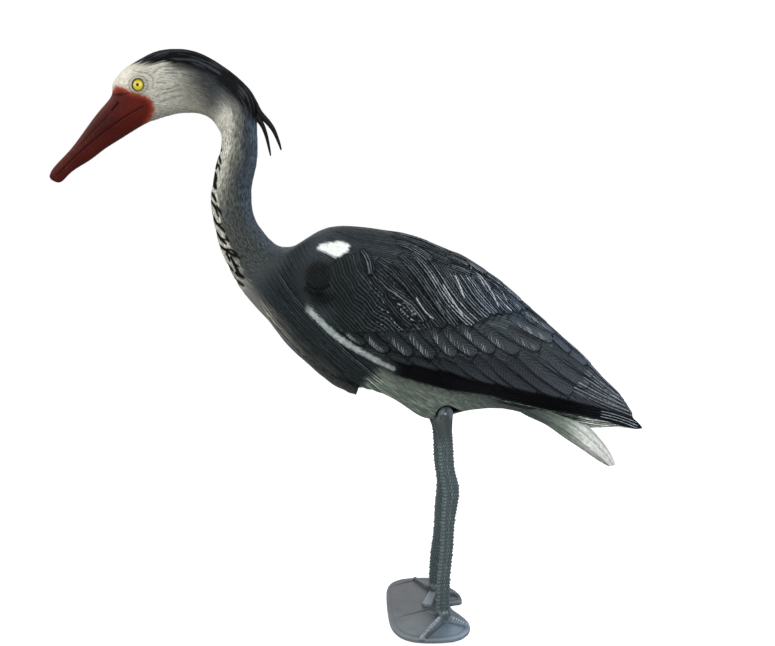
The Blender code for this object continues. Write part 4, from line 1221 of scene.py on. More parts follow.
def build_body_skin():
    def spacing(station):
        return float(np.interp(station, ROW_PITCH_AT, ROW_PITCH))

    skin = Skin(BODY, spacing, 185, coarse_until=28.5)
    zone = body_zones(skin)
    ground_relief(skin, zone)
    lay_feathers(skin, zone)
    trim_outline(skin, zone)
    carve_head(skin, zone)
    carve_carpal(skin, zone)
    brush_highlights(skin)

    zone.blotch = fractal(skin.side_y / 22, skin.side_z / 22, seed=31, octaves=3)
    zone.streak = fractal(zone.along / 14, zone.off / 2.2, seed=32)
    paint_trunk(skin, zone)
    paint_wing(skin, zone)
    paint_shoulder(skin, zone)
    paint_neck(skin, zone)
    paint_head(skin, zone)
    paint_bill(skin, zone)
    paint_dashes(skin, zone)
    paint_white(skin, zone)
    # feather-to-feather tone, with painted light and shade across each feather, and blotches
    tone = np.clip(1 + (skin.tone - 0.5) * 1.5 * zone.wing, 0.3, 2.2)
    skin.shade(tone * (0.90 + 0.2 * zone.blotch))
    paint_eye_ring(skin, zone)
    # painted shade kept in the grooves
    skin.shade(1 - 0.93 * np.clip(skin.dark, 0, 1))
    skin.paint = np.clip(skin.paint, 0, 1)
    skin.bill = zone.bill
    skin.height = np.clip(skin.height, -4.6, 3.6)
    return skin


def build_tail_skin():
    skin = Skin(TAIL, lambda station: 1.3, 61)
    y, arc, reach = skin.side_y, skin.arc, skin.reach
    streak = fractal(reach / 12, arc / 2.0, seed=51)
    # four ridges along the tail, each with a furrow of painted shade beside it
    for part in (0.22, 0.42, 0.62, 0.8):
        gap = arc - skin.row_arc * part
        skin.height += 1.3 * bell(gap, 1.2) - 0.7 * bell(gap - 2.8, 1.2)
        skin.darken(0.55 * bell(gap - 2.6, 1.1))
    skin.height += 0.3 * (streak - 0.5) - 0.2
    # scalloped end
    end = rise(reach.max() - 10, reach.max(), reach)
    skin.height += 0.55 * np.cos(2 * math.pi * arc / 7.5) * end
    white = layered(
        rgb(200, 202, 193),
        (rgb(226, 226, 219), rise(0.1, 0.45, skin.down + 0.2 * (streak - 0.5))),
        # greyer underneath: painted shade
        (rgb(150, 154, 140), rise(0.74, 0.97, skin.down)),
    )
    rear = mix(rgb(122, 132, 120), white, rise(150, 186, y))
    skin.paint = mix(rgb(74, 84, 79), rear, rise(118, 158, y))
    skin.shade(1 - 0.7 * skin.dark)
    skin.shade(0.9 + 0.2 * streak)
    skin.hair[:] = 0.45
    skin.hair_at = np.stack([reach, arc], -1)
    return skin


def build_lip_skin():
    skin = Skin(LIP, lambda station: 1.3, 61)
    along, off = breast_directions(skin)
    groove = ripple(breast_wave(along, off), 4.1)
    skin.height = 0.75 * (groove**0.7 - 0.6) - 0.3
    streak = fractal(along / 14, off / 2.2, seed=32)
    front = polyline_distance(skin.side, LIP_FRONT_LINE)[0]
    light = fall(2, 12, front + 5 * (streak - 0.5)) * 0.35
    skin.paint = mix(rgb(36, 42, 43), rgb(84, 82, 76), light)
    skin.shade(0.9 + 0.2 * streak)
    skin.hair[:] = 1.0
    skin.hair_at = np.stack([along, off], -1)
    return skin


# ------------------------------------------------------------------ shells
def fields_of(skin, seed):
    """The attributes that the plumage material reads."""
    return {
        "paint": skin.paint,
        "v_f": skin.feather_at,
        "v_h": np.column_stack([skin.hair_at, np.full(skin.count, seed)]),
        "v_w": np.stack([skin.barb, skin.strand, skin.hair], -1),
        "v_x": np.stack([skin.dry, skin.comb, skin.bill], -1),
    }


def skin_object(name, skin):
    points = skin.points + skin.normals * skin.height[:, None]
    points[skin.x < SEAM + 1e-6, 0] = SEAM
    points[:, 0] = np.maximum(points[:, 0], SEAM)
    return new_object(name, points, skin.faces()), points


def cavity_object():
    """Hollow of the shell, with the ribs and web beside the slot left standing."""
    stations, count = [], 21
    for i in range(CAVITY_FIRST, CAVITY_LAST + 1):
        top_y, top_z, low_y, low_z, width, narrowing = BODY[i]
        wall = float(np.interp(top_y, WALL_AT, WALL))
        side_wall = CHEEK_WALL if i in THICK_CHEEKS else wall + 0.4
        length = math.hypot(low_y - top_y, low_z - top_z)
        inset_y, inset_z = (low_y - top_y) / length * wall, (low_z - top_z) / length * wall
        stations.append((top_y + inset_y, top_z + inset_z, low_y - inset_y, low_z - inset_z,
                         width - side_wall, narrowing))
    rows = rows_through(stations, lambda station: 9.0)[0]
    points = ring_points(rows, count, 0.0)[0]
    points[:, 0, 0] = points[:, -1, 0] = -3.0    # carried past the seam for a clean cut
    faces = half_closed_faces(len(rows), count)
    obj = new_object("cavity", points.reshape(-1, 3), faces, smooth=False)
    low, high = 222.0, 258.0
    for y0, y1 in ((-10.0, -7.4), (22.4, 25.0)):
        cut(obj, prism("rib", [(y0, low), (y1, low), (y1, high), (y0, high)], 1.5, 36.0))
    web = [(15.2, low), (25.0, low), (25.0, high), (22.4, high), (22.4, 247.2), (15.2, 247.2)]
    cut(obj, prism("web", web, -3.5, 2.2))
    return obj


def eye_matrix(side):
    tilt = math.radians(EYE_TILT)
    out = Vector((side * math.cos(tilt), -math.sin(tilt), -0.06)).normalized()
    place = Matrix.Translation((side * EYE_X, EYE_Y, EYE_Z))
    return place @ out.to_track_quat("Z", "Y").to_matrix().to_4x4()


def slot_outline():
    """Slot that lets the leg swing: upright in front, round the pivot, slanting behind."""
    radius, floor, run = 11.5, 205.0, 60
    points = [(PIVOT_Y - radius, floor), (PIVOT_Y - radius, PIVOT_Z)]
    last = math.radians(61.5)
    for i in range(1, 25):
        angle = math.pi + (last - math.pi) * i / 24
        points.append((PIVOT_Y + radius * math.cos(angle), PIVOT_Z + radius * math.sin(angle)))
    y, z = points[-1]
    y += run * math.sin(last)
    return points + [(y, z - run * math.cos(last)), (y, floor)]


def build_shells():
    skins = [build_body_skin(), build_tail_skin(), build_lip_skin()]
    names = ("shell_left", "tail", "lip")
    objects, clouds = zip(*[skin_object(name, skin) for name, skin in zip(names, skins)])
    left = objects[0]
    for part in objects[1:]:
        cut(left, part, "UNION")
    cut(left, cavity_object())
    cut(left, prism("slot", slot_outline(), 8.5, 41.0))
    cut(left, turned("socket", [(7.65, -2.3), (7.65, 14.0)], 64, eye_matrix(1)))
    for path in (PLUME_UPPER, PLUME_LOWER):
        cut(left, tube("plume_cut", path[:5], 20, grow=0.35, first_back=0.8))
    # fields back onto the cut mesh from the nearest painted point
    found, distance = nearest(np.concatenate(clouds), coords(left))
    fields = [fields_of(skin, seed=3.0 * i) for i, skin in enumerate(skins)]
    values = {key: np.concatenate([part[key] for part in fields])[found] for key in fields[0]}
    # the cut recesses and the inside are bare dark moulding
    bare = rise(0.6, 1.6, distance)
    values["paint"] = mix(values["paint"], rgb(34, 38, 38), bare)
    for key in ("v_w", "v_x"):
        values[key] = values[key] * (1 - bare[:, None])
    write_fields(left, values)
    soften(left, sharp_from=62)
    # right half: the mirror image
    right = left.copy()
    right.data = left.data.copy()
    right.name = "shell_right"
    bpy.context.scene.collection.objects.link(right)
    mirrored = coords(left) * [-1, 1, 1]
    right.data.vertices.foreach_set("co", (mirrored * MM).astype(np.float32).ravel())
    right.data.flip_normals()
    right.data.update()
    return left, right


def build_eye(side, name):
    """Short cylinder with a domed front."""
    place = eye_matrix(side)
    radius, rim = 7.3, 0.2
    profile = [(radius, -1.9), (radius, rim)]
    for part in np.linspace(0.0, 1.0, 15)[1:]:
        angle = part * math.pi / 2
        across = radius * math.cos(angle) if part < 1 else 0.12
        profile.append((across, rim + 2.95 * math.sin(angle)))
    obj = turned(name, profile, 72, place)
    obj.data.set_sharp_from_angle(angle=math.radians(60))
    inverse = place.inverted()
    write_fields(obj, {"v_eye": [tuple(inverse @ Vector(point)) for point in coords(obj)]})
    return obj


# ------------------------------------------------------------------ legs
# z, x, y of the centre, half width, half depth
LEG = [
    (246.2, 21.9, 6.0, 5.7, 1.6), (245.2, 21.9, 6.0, 5.8, 3.9), (243.0, 21.9, 6.0, 5.9, 6.4),
    (239.0, 21.9, 5.9, 5.9, 8.7), (235.0, 22.1, 5.2, 5.9, 9.9), (231.4, 22.3, 3.6, 5.9, 11.2),
    (225.0, 22.9, 3.4, 5.9, 11.0), (218.0, 23.5, 4.6, 5.8, 9.4), (206.0, 24.4, 6.0, 5.7, 8.6),
    (188.0, 25.8, 6.8, 5.6, 8.5), (170.0, 27.2, 8.3, 5.7, 8.8), (158.0, 28.1, 10.8, 6.0, 9.4),
    (148.0, 28.9, 12.0, 6.1, 9.3), (138.0, 29.7, 11.4, 5.9, 8.8), (124.0, 30.7, 9.4, 5.6, 8.0),
    (106.0, 32.0, 7.6, 5.3, 7.3), (82.0, 33.8, 6.2, 5.2, 7.0), (56.0, 35.8, 3.0, 5.2, 7.0),
    (34.0, 37.0, 1.8, 5.4, 7.2), (16.4, 37.5, 1.5, 5.8, 7.4),
]
LEG_COUNT = 72          # points round a leg
LEG_STEP = 0.62         # between its rings
SCALE_PITCH = 3.9       # between rows of scales
SCALE_COLUMNS = 11      # scales round half a leg


def leg_surface(side):
    """Ring points and paint of one scaled leg, from the foot up."""
    table = np.array(LEG, float)[::-1]
    knots = table[:, 0]
    levels = np.r_[np.arange(knots[0], knots[-1], LEG_STEP), knots[-1]]
    points, paint = [], []
    for z, x, y, across, depth in natural_spline(knots, table, levels):
        scaly = float(fall(206, 220, z))
        lower = float(fall(196, 212, z))
        tint = rgb(60, 72, 73) * lower + rgb(54, 64, 64) * (1 - lower)
        row = math.floor(z / SCALE_PITCH)
        saw = (z / SCALE_PITCH) % 1.0
        rear_saw = (z / SCALE_PITCH + 0.4) % 1.0
        # overlapping plates down the front and rear, each row of its own depth
        size = 1.2 + 1.0 * (math.sin(row * 91.7) * 0.5 + 0.5)
        tooth = (1 - saw) ** 1.4 * size - 0.6
        rear_tooth = (1 - rear_saw) ** 1.4 * size - 0.6
        joint = min(1, 0.45 + min(saw, 1 - saw) * 2.4)
        for i in range(LEG_COUNT):
            angle = 2 * math.pi * (i + 0.5) / LEG_COUNT
            left, back = math.cos(angle), math.sin(angle)
            front, rear, flank = max(-back, 0.0) ** 4, max(back, 0.0) ** 4, abs(left)
            outer = left * side > 0
            # small scales on the flanks, staggered by row and uneven in height
            column = angle * SCALE_COLUMNS / math.pi + 0.5 * (row % 2)
            cell = column % 1.0
            scale = min(1, min(cell, 1 - cell) * 2 * 1.8) * joint - 0.5
            lot = math.sin(row * 12.9898 + math.floor(column) * 78.233) * 43758.5453
            scale *= 0.35 + 1.1 * (lot - math.floor(lot))
            # raised strip up the outer side
            strip = math.exp(-((back - 0.05) / 0.10) ** 2) * outer
            lift = scaly * (front * tooth + rear * rear_tooth)
            lift += scaly * flank**2 * scale * 0.9
            lift += 0.45 * strip * (0.4 + 0.6 * (1 - scaly))
            points.append((
                side * x + across * math.copysign(flank**0.75, left) + left * lift,
                y + depth * math.copysign(abs(back) ** 0.85, back) + back * lift,
                z,
            ))
            # painted highlights where the plates and the raised strip stand out, and painted light
            # and shade on the scales
            worn = scaly * max(front, rear) * (1 - saw) * 0.9 + 0.5 * strip
            gain = 0.80 + 0.9 * min(1.0, max(0.0, worn)) * (0.35 + 0.65 * lower)
            gain += 1.05 * scaly * scale * flank
            # painted highlight along a crest on the outer side, towards the front
            crest = math.exp(-((back + 0.72) / 0.16) ** 2) * outer * scaly * lower
            gain += 2.6 * crest * (1 - saw) ** 2
            paint.append(tint * max(gain, 0.2))
    return len(levels), np.array(points), np.array(paint)


def build_leg(side, name):
    rows, points, paint = leg_surface(side)
    leg = new_object(name, points, capped_faces(rows, LEG_COUNT))
    # tongue with its two rims eased
    x0, x1 = sorted((side * 16.0, side * 28.0))
    rings = [
        (x, y, z)
        for x, radius in ((x0, 8.0), (x0 + 0.8, 8.8), (x1 - 0.8, 8.8), (x1, 8.0))
        for y, z in pivot_circle(radius, 72)
    ]
    cut(leg, new_object("tongue", rings, capped_faces(4, 72), smooth=False), "UNION")
    ankle = Matrix.Translation((side * ANKLE_X, ANKLE_Y, 0))
    cut(leg, turned("peg", [(2.9, 6.6), (3.4, 7.3), (3.4, 22.0)], 48, ankle), "UNION")
    cut(leg, prism("bore", pivot_circle(1.95, 40), *sorted((side * 14.0, side * 30.0))))
    co = coords(leg)
    # plain grey near the hinge
    colour = mix(paint[nearest(points, co)[0]], rgb(46, 54, 54), rise(228, 236, co[:, 2]))
    write_fields(leg, {"paint": colour})
    soften(leg, sharp_from=48)
    return leg


# ------------------------------------------------------------------ base
# Outline (x, y): front and left side, mirrored for the right; then the rear edge
PLATE_SIDE = [
    (0.0, -60.7), (15.0, -60.6), (30.0, -60.2), (45.0, -59.2), (58.0, -56.6), (69.0, -51.6),
    (76.6, -44.6), (81.4, -36.0), (84.0, -23.5), (84.6, -9.0), (83.0, 6.0),
]
PLATE_REAR = [
    (77.5, 17.5), (68.5, 25.2), (57.0, 29.6), (46.0, 29.6), (35.0, 26.5), (24.0, 21.8),
    (14.5, 16.8), (3.5, 14.0), (-4.5, 15.5), (-6.5, 23.0), (-8.5, 31.0), (-17.0, 32.2),
    (-28.0, 31.4), (-41.0, 27.3), (-50.0, 22.5), (-61.0, 20.0), (-73.0, 15.0),
]
# Raised toes: start, end, half width and height at start and end, rib pitch (0 is plain)
TOES = [
    ((41.0, 0.0), (81.0, -27.0), 4.8, 3.8, 7.5, 2.0, 3.1),
    ((40.0, 5.0), (55.5, 26.0), 4.6, 3.4, 6.6, 2.0, 3.1),
    ((35.0, 0.0), (17.5, -11.5), 4.8, 4.0, 3.6, 0.5, 0.0),
    ((9.0, -8.0), (28.0, -46.0), 2.2, 1.3, 0.9, 0.25, 0.0),
    ((-36.0, -1.0), (-75.0, -20.0), 5.2, 3.6, 5.6, 3.2, 3.6),
    ((-37.0, 3.0), (-26.5, 27.0), 4.8, 3.4, 6.6, 2.2, 3.1),
    ((-35.0, 0.0), (3.5, -13.2), 5.4, 7.6, 5.6, 3.8, 0.0),
    ((-75.0, -22.0), (-57.0, -54.0), 2.0, 1.3, 0.9, 0.25, 0.0),
]
# Rings down the side of the plate: inset, z
PLATE_LEVELS = [(0.35, 4.6), (0.0, 3.6), (0.0, 1.1), (1.1, 0.0)]


def toe_relief(points, start, end, half0, half1, height0, height1, pitch):
    """Mound, painted shade and painted highlight of one toe."""
    start, end = np.array(start), np.array(end)
    length = np.hypot(*(end - start))
    ahead = (end - start) / length
    rel = points - start
    arc = rel @ ahead
    off = np.abs(rel @ np.array([-ahead[1], ahead[0]]))
    part = np.clip(arc / length, 0, 1)
    round_end = np.sqrt(np.clip(1 - ((arc - length) / 3.2) ** 2, 0, 1))
    half = (half0 + (half1 - half0) * part) * np.where(arc > length, round_end, 1)
    inside = np.clip(1 - off / np.maximum(half, 0.01), 0, 1)
    inside = inside * (arc > -4) * (arc < length + 3.2)
    height = height0 + (height1 - height0) * part**0.8
    border = bell(off - half - 0.4, 0.7) * (arc > 6) * (arc < length)
    if not pitch:
        strength = 0.38 if half1 > 7 else 0.0
        light = strength * rise(0.15, 0.4, inside) * rise(8, 14, arc)
        return rise(0.0, 0.35, inside) * height, 0.45 * border, light
    # ribs start clear of the ankle
    ribbed = rise(3, 9, arc)
    saw = (arc / pitch) % 1.0
    mound = np.sin(inside * math.pi / 2) ** 0.8 * height
    mound = mound + 1.35 * (1 - saw) * ribbed * rise(0.05, 0.4, inside)
    furrow = 0.85 * bell(saw - 0.90, 0.14) * rise(0.1, 0.4, inside) * ribbed
    light = bell(saw - 0.18, 0.20) * rise(0.3, 0.7, inside) * ribbed
    return mound, np.maximum(furrow, 0.75 * border), light


def plate_relief(points, outline):
    """Height of the upper face, and where painted shade and painted highlights lie on it."""
    x, y = points[:, 0], points[:, 1]
    inset = -polygon_distance(points, outline)
    # low rim and the pad inside it
    z = 4.0 + 0.7 * rise(0.0, 1.6, inset) + 0.45 * rise(5.2, 6.6, inset)
    z += 0.18 * (fractal(x / 16, y / 16, seed=61) - 0.5)
    # painted shade at the foot of the pad and a painted highlight along the rim, strongest at the
    # near rear
    dark = 0.35 * bell(inset - 5.7, 0.6)
    light = (0.10 + 0.35 * rise(40, 80, x) * rise(-30, 10, y)) * bell(inset - 1.6, 0.8)
    raised = np.zeros(len(points))
    for toe in TOES:
        mound, toe_dark, toe_light = toe_relief(points, *toe)
        raised = np.maximum(raised, mound)
        dark = np.maximum(dark, toe_dark)
        light = np.maximum(light, toe_light)
    # round boss at each ankle, scalloped about its foot, darker, with painted shade round its foot
    for side in (1, -1):
        off_x, off_y = x - side * ANKLE_X, y - ANKLE_Y
        radius = np.hypot(off_x, off_y)
        boss = 11.0 * fall(6.6, 9.8, radius) ** 0.8
        boss += 0.45 * np.cos(np.arctan2(off_y, off_x) * 9) * (radius > 6) * (radius < 11)
        raised = np.maximum(raised, boss)
        dark = np.maximum(dark, 0.55 * bell(radius - 11.4, 1.0))
        dark = np.maximum(dark, 0.30 * (radius < 10.5))
    return z + raised, dark, light


def base_paint(points, dark, light):
    x, y, z = points.T
    # lighter towards the near side and bluish at its near rear: painted light
    side = rise(10, 75, x)
    centre = rise(-18, 4, x) * fall(2, 8, x) * rise(2, 18, y)
    colour = layered(
        rgb(74, 80, 84),
        (rgb(88, 98, 102), side),
        (rgb(116, 133, 152), side * rise(-22, 16, y) * 0.85),
        (rgb(98, 112, 130), centre * 0.6),
    )
    colour = colour * (0.66 + 0.50 * fractal(x / 12, y / 12, seed=66, octaves=4))[:, None]
    # darker side wall: painted shade
    wall = fall(3.2, 4.9, z)
    colour = colour * (1 - 0.72 * wall)[:, None]
    ankle = np.minimum(*[np.hypot(x - side * ANKLE_X, y - ANKLE_Y) for side in (1, -1)])
    colour = mix(colour, rgb(58, 70, 71), 0.8 * fall(8.5, 10.5, ankle))
    # painted shade in the creases, then painted highlights on ribs and rims
    colour = colour * (1 - 0.85 * dark[:, None])
    return mix(colour, rgb(196, 208, 216), np.clip(light * 0.7, 0, 1) * (1 - wall))


def build_base(name):
    mirrored = [(-x, y) for x, y in reversed(PLATE_SIDE) if x > 0]
    outline = np.array(PLATE_SIDE + PLATE_REAR + mirrored, float)
    # space the outline evenly and round its corners a little
    closed = np.vstack([outline, outline[:1]])
    run = np.r_[0, np.cumsum(np.hypot(*np.diff(closed, axis=0).T))]
    query = np.linspace(0, run[-1], 361)[:-1]
    edge = np.stack([np.interp(query, run, closed[:, k]) for k in (0, 1)], -1)
    for _ in range(6):
        edge = (np.roll(edge, 1, 0) + 2 * edge + np.roll(edge, -1, 0)) / 4
    tangent = np.roll(edge, -1, 0) - np.roll(edge, 1, 0)
    tangent /= np.hypot(*tangent.T)[:, None]
    inward = np.stack([-tangent[:, 1], tangent[:, 0]], -1)
    inner = edge + inward * 1.0
    # upper face: staggered grid of points inside the inner ring, triangulated
    grid_x, grid_y = np.meshgrid(np.arange(-84, 85, 1.0), np.arange(-61, 33, 1.0))
    grid_x = grid_x + (np.arange(grid_x.shape[0]) % 2)[:, None] * 0.57
    grid = np.stack([grid_x.ravel(), grid_y.ravel()], -1)
    grid = grid[polygon_distance(grid, inner) < -0.7]
    n = len(inner)
    flat = [Vector(point) for point in inner] + [Vector(point) for point in grid]
    ring_edges = [(i, (i + 1) % n) for i in range(n)]
    result = delaunay_2d_cdt(flat, ring_edges, [list(range(n))], 1, 1e-4)
    top = np.array([(point.x, point.y) for point in result[0]])
    faces = [list(face) for face in result[2]]
    new_index = {old: new for new, olds in enumerate(result[3]) for old in olds}
    z, dark, light = plate_relief(top, edge)
    points = [(x, y, height) for (x, y), height in zip(top, z)]
    # sides: rounded upper edge, wall, eased lower edge, flat underside
    above_ring = [new_index[i] for i in range(n)]
    for inset, level in PLATE_LEVELS:
        ring = list(range(len(points), len(points) + n))
        points += [(*point, level) for point in (edge + inward * inset)]
        for i in range(n):
            j = (i + 1) % n
            faces.append([above_ring[i], above_ring[j], ring[j], ring[i]])
        above_ring = ring
    faces.append(above_ring[::-1])
    base = new_object(name, points, faces)
    side_dark = np.zeros(len(points) - len(top))
    points = np.array(points)
    colour = base_paint(points, np.r_[dark, side_dark], np.r_[light, side_dark + 0.1])
    for side in (1, -1):
        ankle = Matrix.Translation((side * ANKLE_X, ANKLE_Y, 0))
        cut(base, turned("socket", [(3.8, 6.0), (3.8, 40.0)], 48, ankle))
    write_fields(base, {"paint": colour[nearest(points, coords(base))[0]]})
    soften(base, sharp_from=55)
    return base


# ------------------------------------------------------------------ materials
class Nodes:
    """Short way to write a material's node tree."""

    def __init__(self, name):
        self.material = bpy.data.materials.new(name)
        self.material.use_nodes = True
        self.tree = self.material.node_tree
        self.bsdf = self.tree.nodes["Principled BSDF"]

    def node(self, kind, **props):
        node = self.tree.nodes.new(kind)
        for key, value in props.items():
            setattr(node, key, value)
        return node

    def put(self, socket, value):
        if isinstance(value, bpy.types.NodeSocket):
            self.tree.links.new(value, socket)
        elif socket.type == "RGBA":
            socket.default_value = (*value, 1)
        else:
            socket.default_value = value

    def surface(self, name, value):
        self.put(self.bsdf.inputs[name], value)

    def attribute(self, name, output="Vector"):
        return self.node("ShaderNodeAttribute", attribute_name=name).outputs[output]

    def object_place(self):
        return self.node("ShaderNodeTexCoord").outputs["Object"]

    def math(self, operation, *values, clamp=False):
        node = self.node("ShaderNodeMath", operation=operation, use_clamp=clamp)
        for socket, value in zip(node.inputs, values):
            self.put(socket, value)
        return node.outputs[0]

    def mul(self, first, second):
        return self.math("MULTIPLY", first, second)

    def plus(self, first, second):
        return self.math("ADD", first, second)

    def mul_add(self, value, by, add):
        return self.math("MULTIPLY_ADD", value, by, add)

    def swing(self, value, by):
        """by * (value - 0.5)"""
        return self.mul(self.math("SUBTRACT", value, 0.5), by)

    def vary(self, value, by):
        """1 + by * (value - 0.5)"""
        return self.mul_add(self.math("SUBTRACT", value, 0.5), by=by, add=1.0)

    def wave(self, value, pitch):
        """Sine between 0 and 1."""
        sine = self.math("SINE", self.mul(value, 2 * math.pi / pitch))
        return self.mul_add(sine, by=0.5, add=0.5)

    def split(self, vector):
        node = self.node("ShaderNodeSeparateXYZ")
        self.put(node.inputs[0], vector)
        return node.outputs

    def join(self, x, y, z):
        node = self.node("ShaderNodeCombineXYZ")
        for socket, value in zip(node.inputs, (x, y, z)):
            self.put(socket, value)
        return node.outputs[0]

    def scaled(self, vector, gain):
        node = self.node("ShaderNodeVectorMath", operation="SCALE")
        self.put(node.inputs[0], vector)
        self.put(node.inputs["Scale"], gain)
        return node.outputs[0]

    def noise(self, vector, scale=1.0, detail=2, rough=0.5):
        node = self.node("ShaderNodeTexNoise")
        inputs = {"Vector": vector, "Scale": scale, "Detail": detail, "Roughness": rough}
        for name, value in inputs.items():
            self.put(node.inputs[name], value)
        return node.outputs[0]

    def chance(self, lane, number):
        """One random value for each whole lane of each feather."""
        node = self.node("ShaderNodeTexWhiteNoise", noise_dimensions="2D")
        whole = self.math("FLOOR", self.plus(lane, 0.25))
        self.put(node.inputs["Vector"], self.join(whole, number, 0.0))
        return node.outputs["Value"]

    def ramp(self, value, start, end, low=0.0, high=1.0):
        """Grey ramp from low at start to high at end."""
        node = self.node("ShaderNodeValToRGB")
        stops = ((start, low), (end, high))
        for element, (position, grey) in zip(node.color_ramp.elements, stops):
            element.position = position
            element.color = (grey, grey, grey, 1)
        self.put(node.inputs[0], value)
        return node.outputs[0]

    def mix(self, factor, first, second):
        node = self.node("ShaderNodeMix", data_type="RGBA")
        self.put(node.inputs["Factor"], factor)
        self.put(node.inputs[6], first)
        self.put(node.inputs[7], second)
        return node.outputs[2]

    def bump(self, height, distance, normal=None):
        node = self.node("ShaderNodeBump")
        self.put(node.inputs["Distance"], distance)
        self.put(node.inputs["Height"], height)
        if normal is not None:
            self.put(node.inputs["Normal"], normal)
        return node.outputs[0]


def plumage_material():
    """Painted feathers driven by the fields of the skin."""
    nodes = Nodes("painted_plumage")
    mul, plus, mul_add, ramp = nodes.mul, nodes.plus, nodes.mul_add, nodes.ramp
    paint = nodes.attribute("paint", "Color")
    arc, offset, number = nodes.split(nodes.attribute("v_f"))
    hair_along, hair_off, _ = nodes.split(nodes.attribute("v_h"))
    barb, strand, hair = nodes.split(nodes.attribute("v_w"))
    dry, comb, bill = nodes.split(nodes.attribute("v_x"))
    place = nodes.object_place()
    micro = nodes.noise(place, scale=900.0, detail=3)
    grain = nodes.noise(place, scale=260.0, detail=4)

    # barbs run obliquely out from the shaft
    barb_pitch = 2.7
    side = nodes.math("ABSOLUTE", offset)
    waver = nodes.swing(grain, by=1.1)
    phase = plus(nodes.math("SUBTRACT", arc, mul(side, 1.35)), waver)
    barb_wave = nodes.wave(phase, barb_pitch)
    shaft = nodes.math("SUBTRACT", 1.0, nodes.math("DIVIDE", side, 0.65), clamp=True)
    barb_height = mul(mul_add(shaft, by=1.5, add=barb_wave), barb)

    # strands run along the feather, each with its own wander
    wander = nodes.noise(nodes.join(mul(arc, 0.10), mul(offset, 0.5), number))
    wiggle = nodes.noise(nodes.join(mul(arc, 0.42), mul(offset, 0.3), number), detail=1)
    bent = plus(offset, nodes.swing(wander, by=2.6))
    bent = plus(bent, nodes.swing(wiggle, by=1.1))
    lane = nodes.math("DIVIDE", bent, 2.9)
    strand_wave = nodes.wave(lane, 1.0)
    strand_height = mul(strand_wave, strand)
    lucky = nodes.chance(lane, number)

    # hair-like texture
    curl = nodes.noise(nodes.join(mul(hair_along, 0.10), mul(hair_off, 0.10), 0.0))
    curl = nodes.swing(curl, by=6.0)
    flow = nodes.join(mul(hair_along, 0.15), mul(plus(hair_off, curl), 0.62), 0.0)
    fur = nodes.noise(flow, rough=0.6)
    fur_light = ramp(fur, start=0.36, end=0.64)
    hair_height = mul(nodes.swing(fur, by=3.0), hair)
    height = plus(plus(barb_height, mul(strand_height, 1.1)), hair_height)
    height = plus(height, mul(micro, mul_add(bill, by=-0.20, add=0.22)))

    # ridges painted lighter and valleys darker: painted light and shade on the fine relief
    barb_light = ramp(barb_wave, start=0.30, end=0.90)
    strand_light = ramp(strand_wave, start=0.30, end=0.92)
    barb_gain = plus(mul_add(barb_light, by=1.75, add=-0.68), mul(shaft, 1.1))
    uneven = mul(strand_light, mul_add(lucky, by=1.9, add=0.25))
    strand_gain = mul_add(uneven, by=2.1, add=-0.84)
    hair_gain = mul_add(fur_light, by=0.90, add=-0.46)
    gain = plus(mul(barb_gain, barb), mul(strand_gain, strand))
    plain = nodes.math("SUBTRACT", 1.0, nodes.math("MAXIMUM", barb, strand), clamp=True)
    gain = plus(gain, mul(mul(hair_gain, hair), plain))
    gain = nodes.math("MAXIMUM", plus(gain, 1.0), 0.12)
    gain = mul(gain, nodes.vary(grain, by=0.45))
    colour = nodes.scaled(paint, gain)

    # brushed white, partly painted highlights, and combed white on barbs and strands
    patchy = nodes.swing(nodes.noise(place, scale=420.0, detail=3), by=0.75)
    brush = ramp(plus(dry, patchy), start=0.30, end=0.85)
    comb_wave = ramp(barb_wave, start=0.60, end=0.92)
    pick = nodes.chance(nodes.math("DIVIDE", phase, barb_pitch), number)
    broken = ramp(pick, start=0.35, end=0.55)
    barb_white = mul(mul(mul(comb, comb_wave), broken), barb)
    lit = ramp(lucky, start=0.62, end=0.86)
    crest = ramp(strand_wave, start=0.62, end=0.92)
    strand_white = mul(crest, mul(lit, mul(comb, strand)))
    wear = nodes.noise(place, scale=240.0, detail=3)
    wear = ramp(wear, start=0.36, end=0.58, low=0.15)
    comb_white = nodes.math("MAXIMUM", barb_white, mul(strand_white, wear))
    white = nodes.math("MAXIMUM", mul(brush, 0.85), mul(comb_white, 0.9))
    nodes.surface("Base Color", nodes.mix(white, colour, rgb(206, 213, 216)))

    rough = mul_add(grain, by=0.2, add=0.36)
    nodes.surface("Roughness", nodes.math("SUBTRACT", rough, mul(bill, 0.10)))
    nodes.surface("Specular IOR Level", 0.05)
    normal = nodes.bump(height, distance=0.00095)
    # fine streaks along the bill
    streaks = nodes.noise(nodes.join(mul(hair_along, 0.10), mul(hair_off, 1.5), 4.0))
    streaks = mul(mul(streaks, bill), 1.2)
    nodes.surface("Normal", nodes.bump(streaks, distance=0.0004, normal=normal))
    return nodes.material


def moulded(name, colour=None, rough=0.5, spec=0.45, speck=0.25, bump=0.00012, scale=500.0,
            metallic=0.0, wear=None):
    """Moulded part: mottled colour and fine grain. Without a colour it shows the vertex
    paint; wear is the colour of its lighter convex edges, worn paint with a painted
    highlight on it."""
    nodes = Nodes(name)
    place = nodes.object_place()
    big = nodes.noise(place, scale=45.0, detail=3)
    fine = nodes.noise(place, scale=scale, detail=4)
    base = nodes.attribute("paint", "Color") if colour is None else tuple(colour)
    gain = nodes.vary(big, by=speck)
    gain = nodes.mul(gain, nodes.vary(fine, by=speck))
    shown = nodes.scaled(base, gain)
    # lighter convex edges: worn paint with a painted highlight
    if wear is not None:
        pointed = nodes.node("ShaderNodeNewGeometry").outputs["Pointiness"]
        edge = nodes.ramp(pointed, start=0.52, end=0.60)
        shown = nodes.mix(nodes.mul(edge, 0.6), shown, wear)
    nodes.surface("Base Color", shown)
    nodes.surface("Roughness", nodes.mul_add(fine, by=0.2, add=rough - 0.1))
    nodes.surface("Specular IOR Level", spec)
    nodes.surface("Metallic", metallic)
    nodes.surface("Normal", nodes.bump(fine, distance=bump))
    return nodes.material


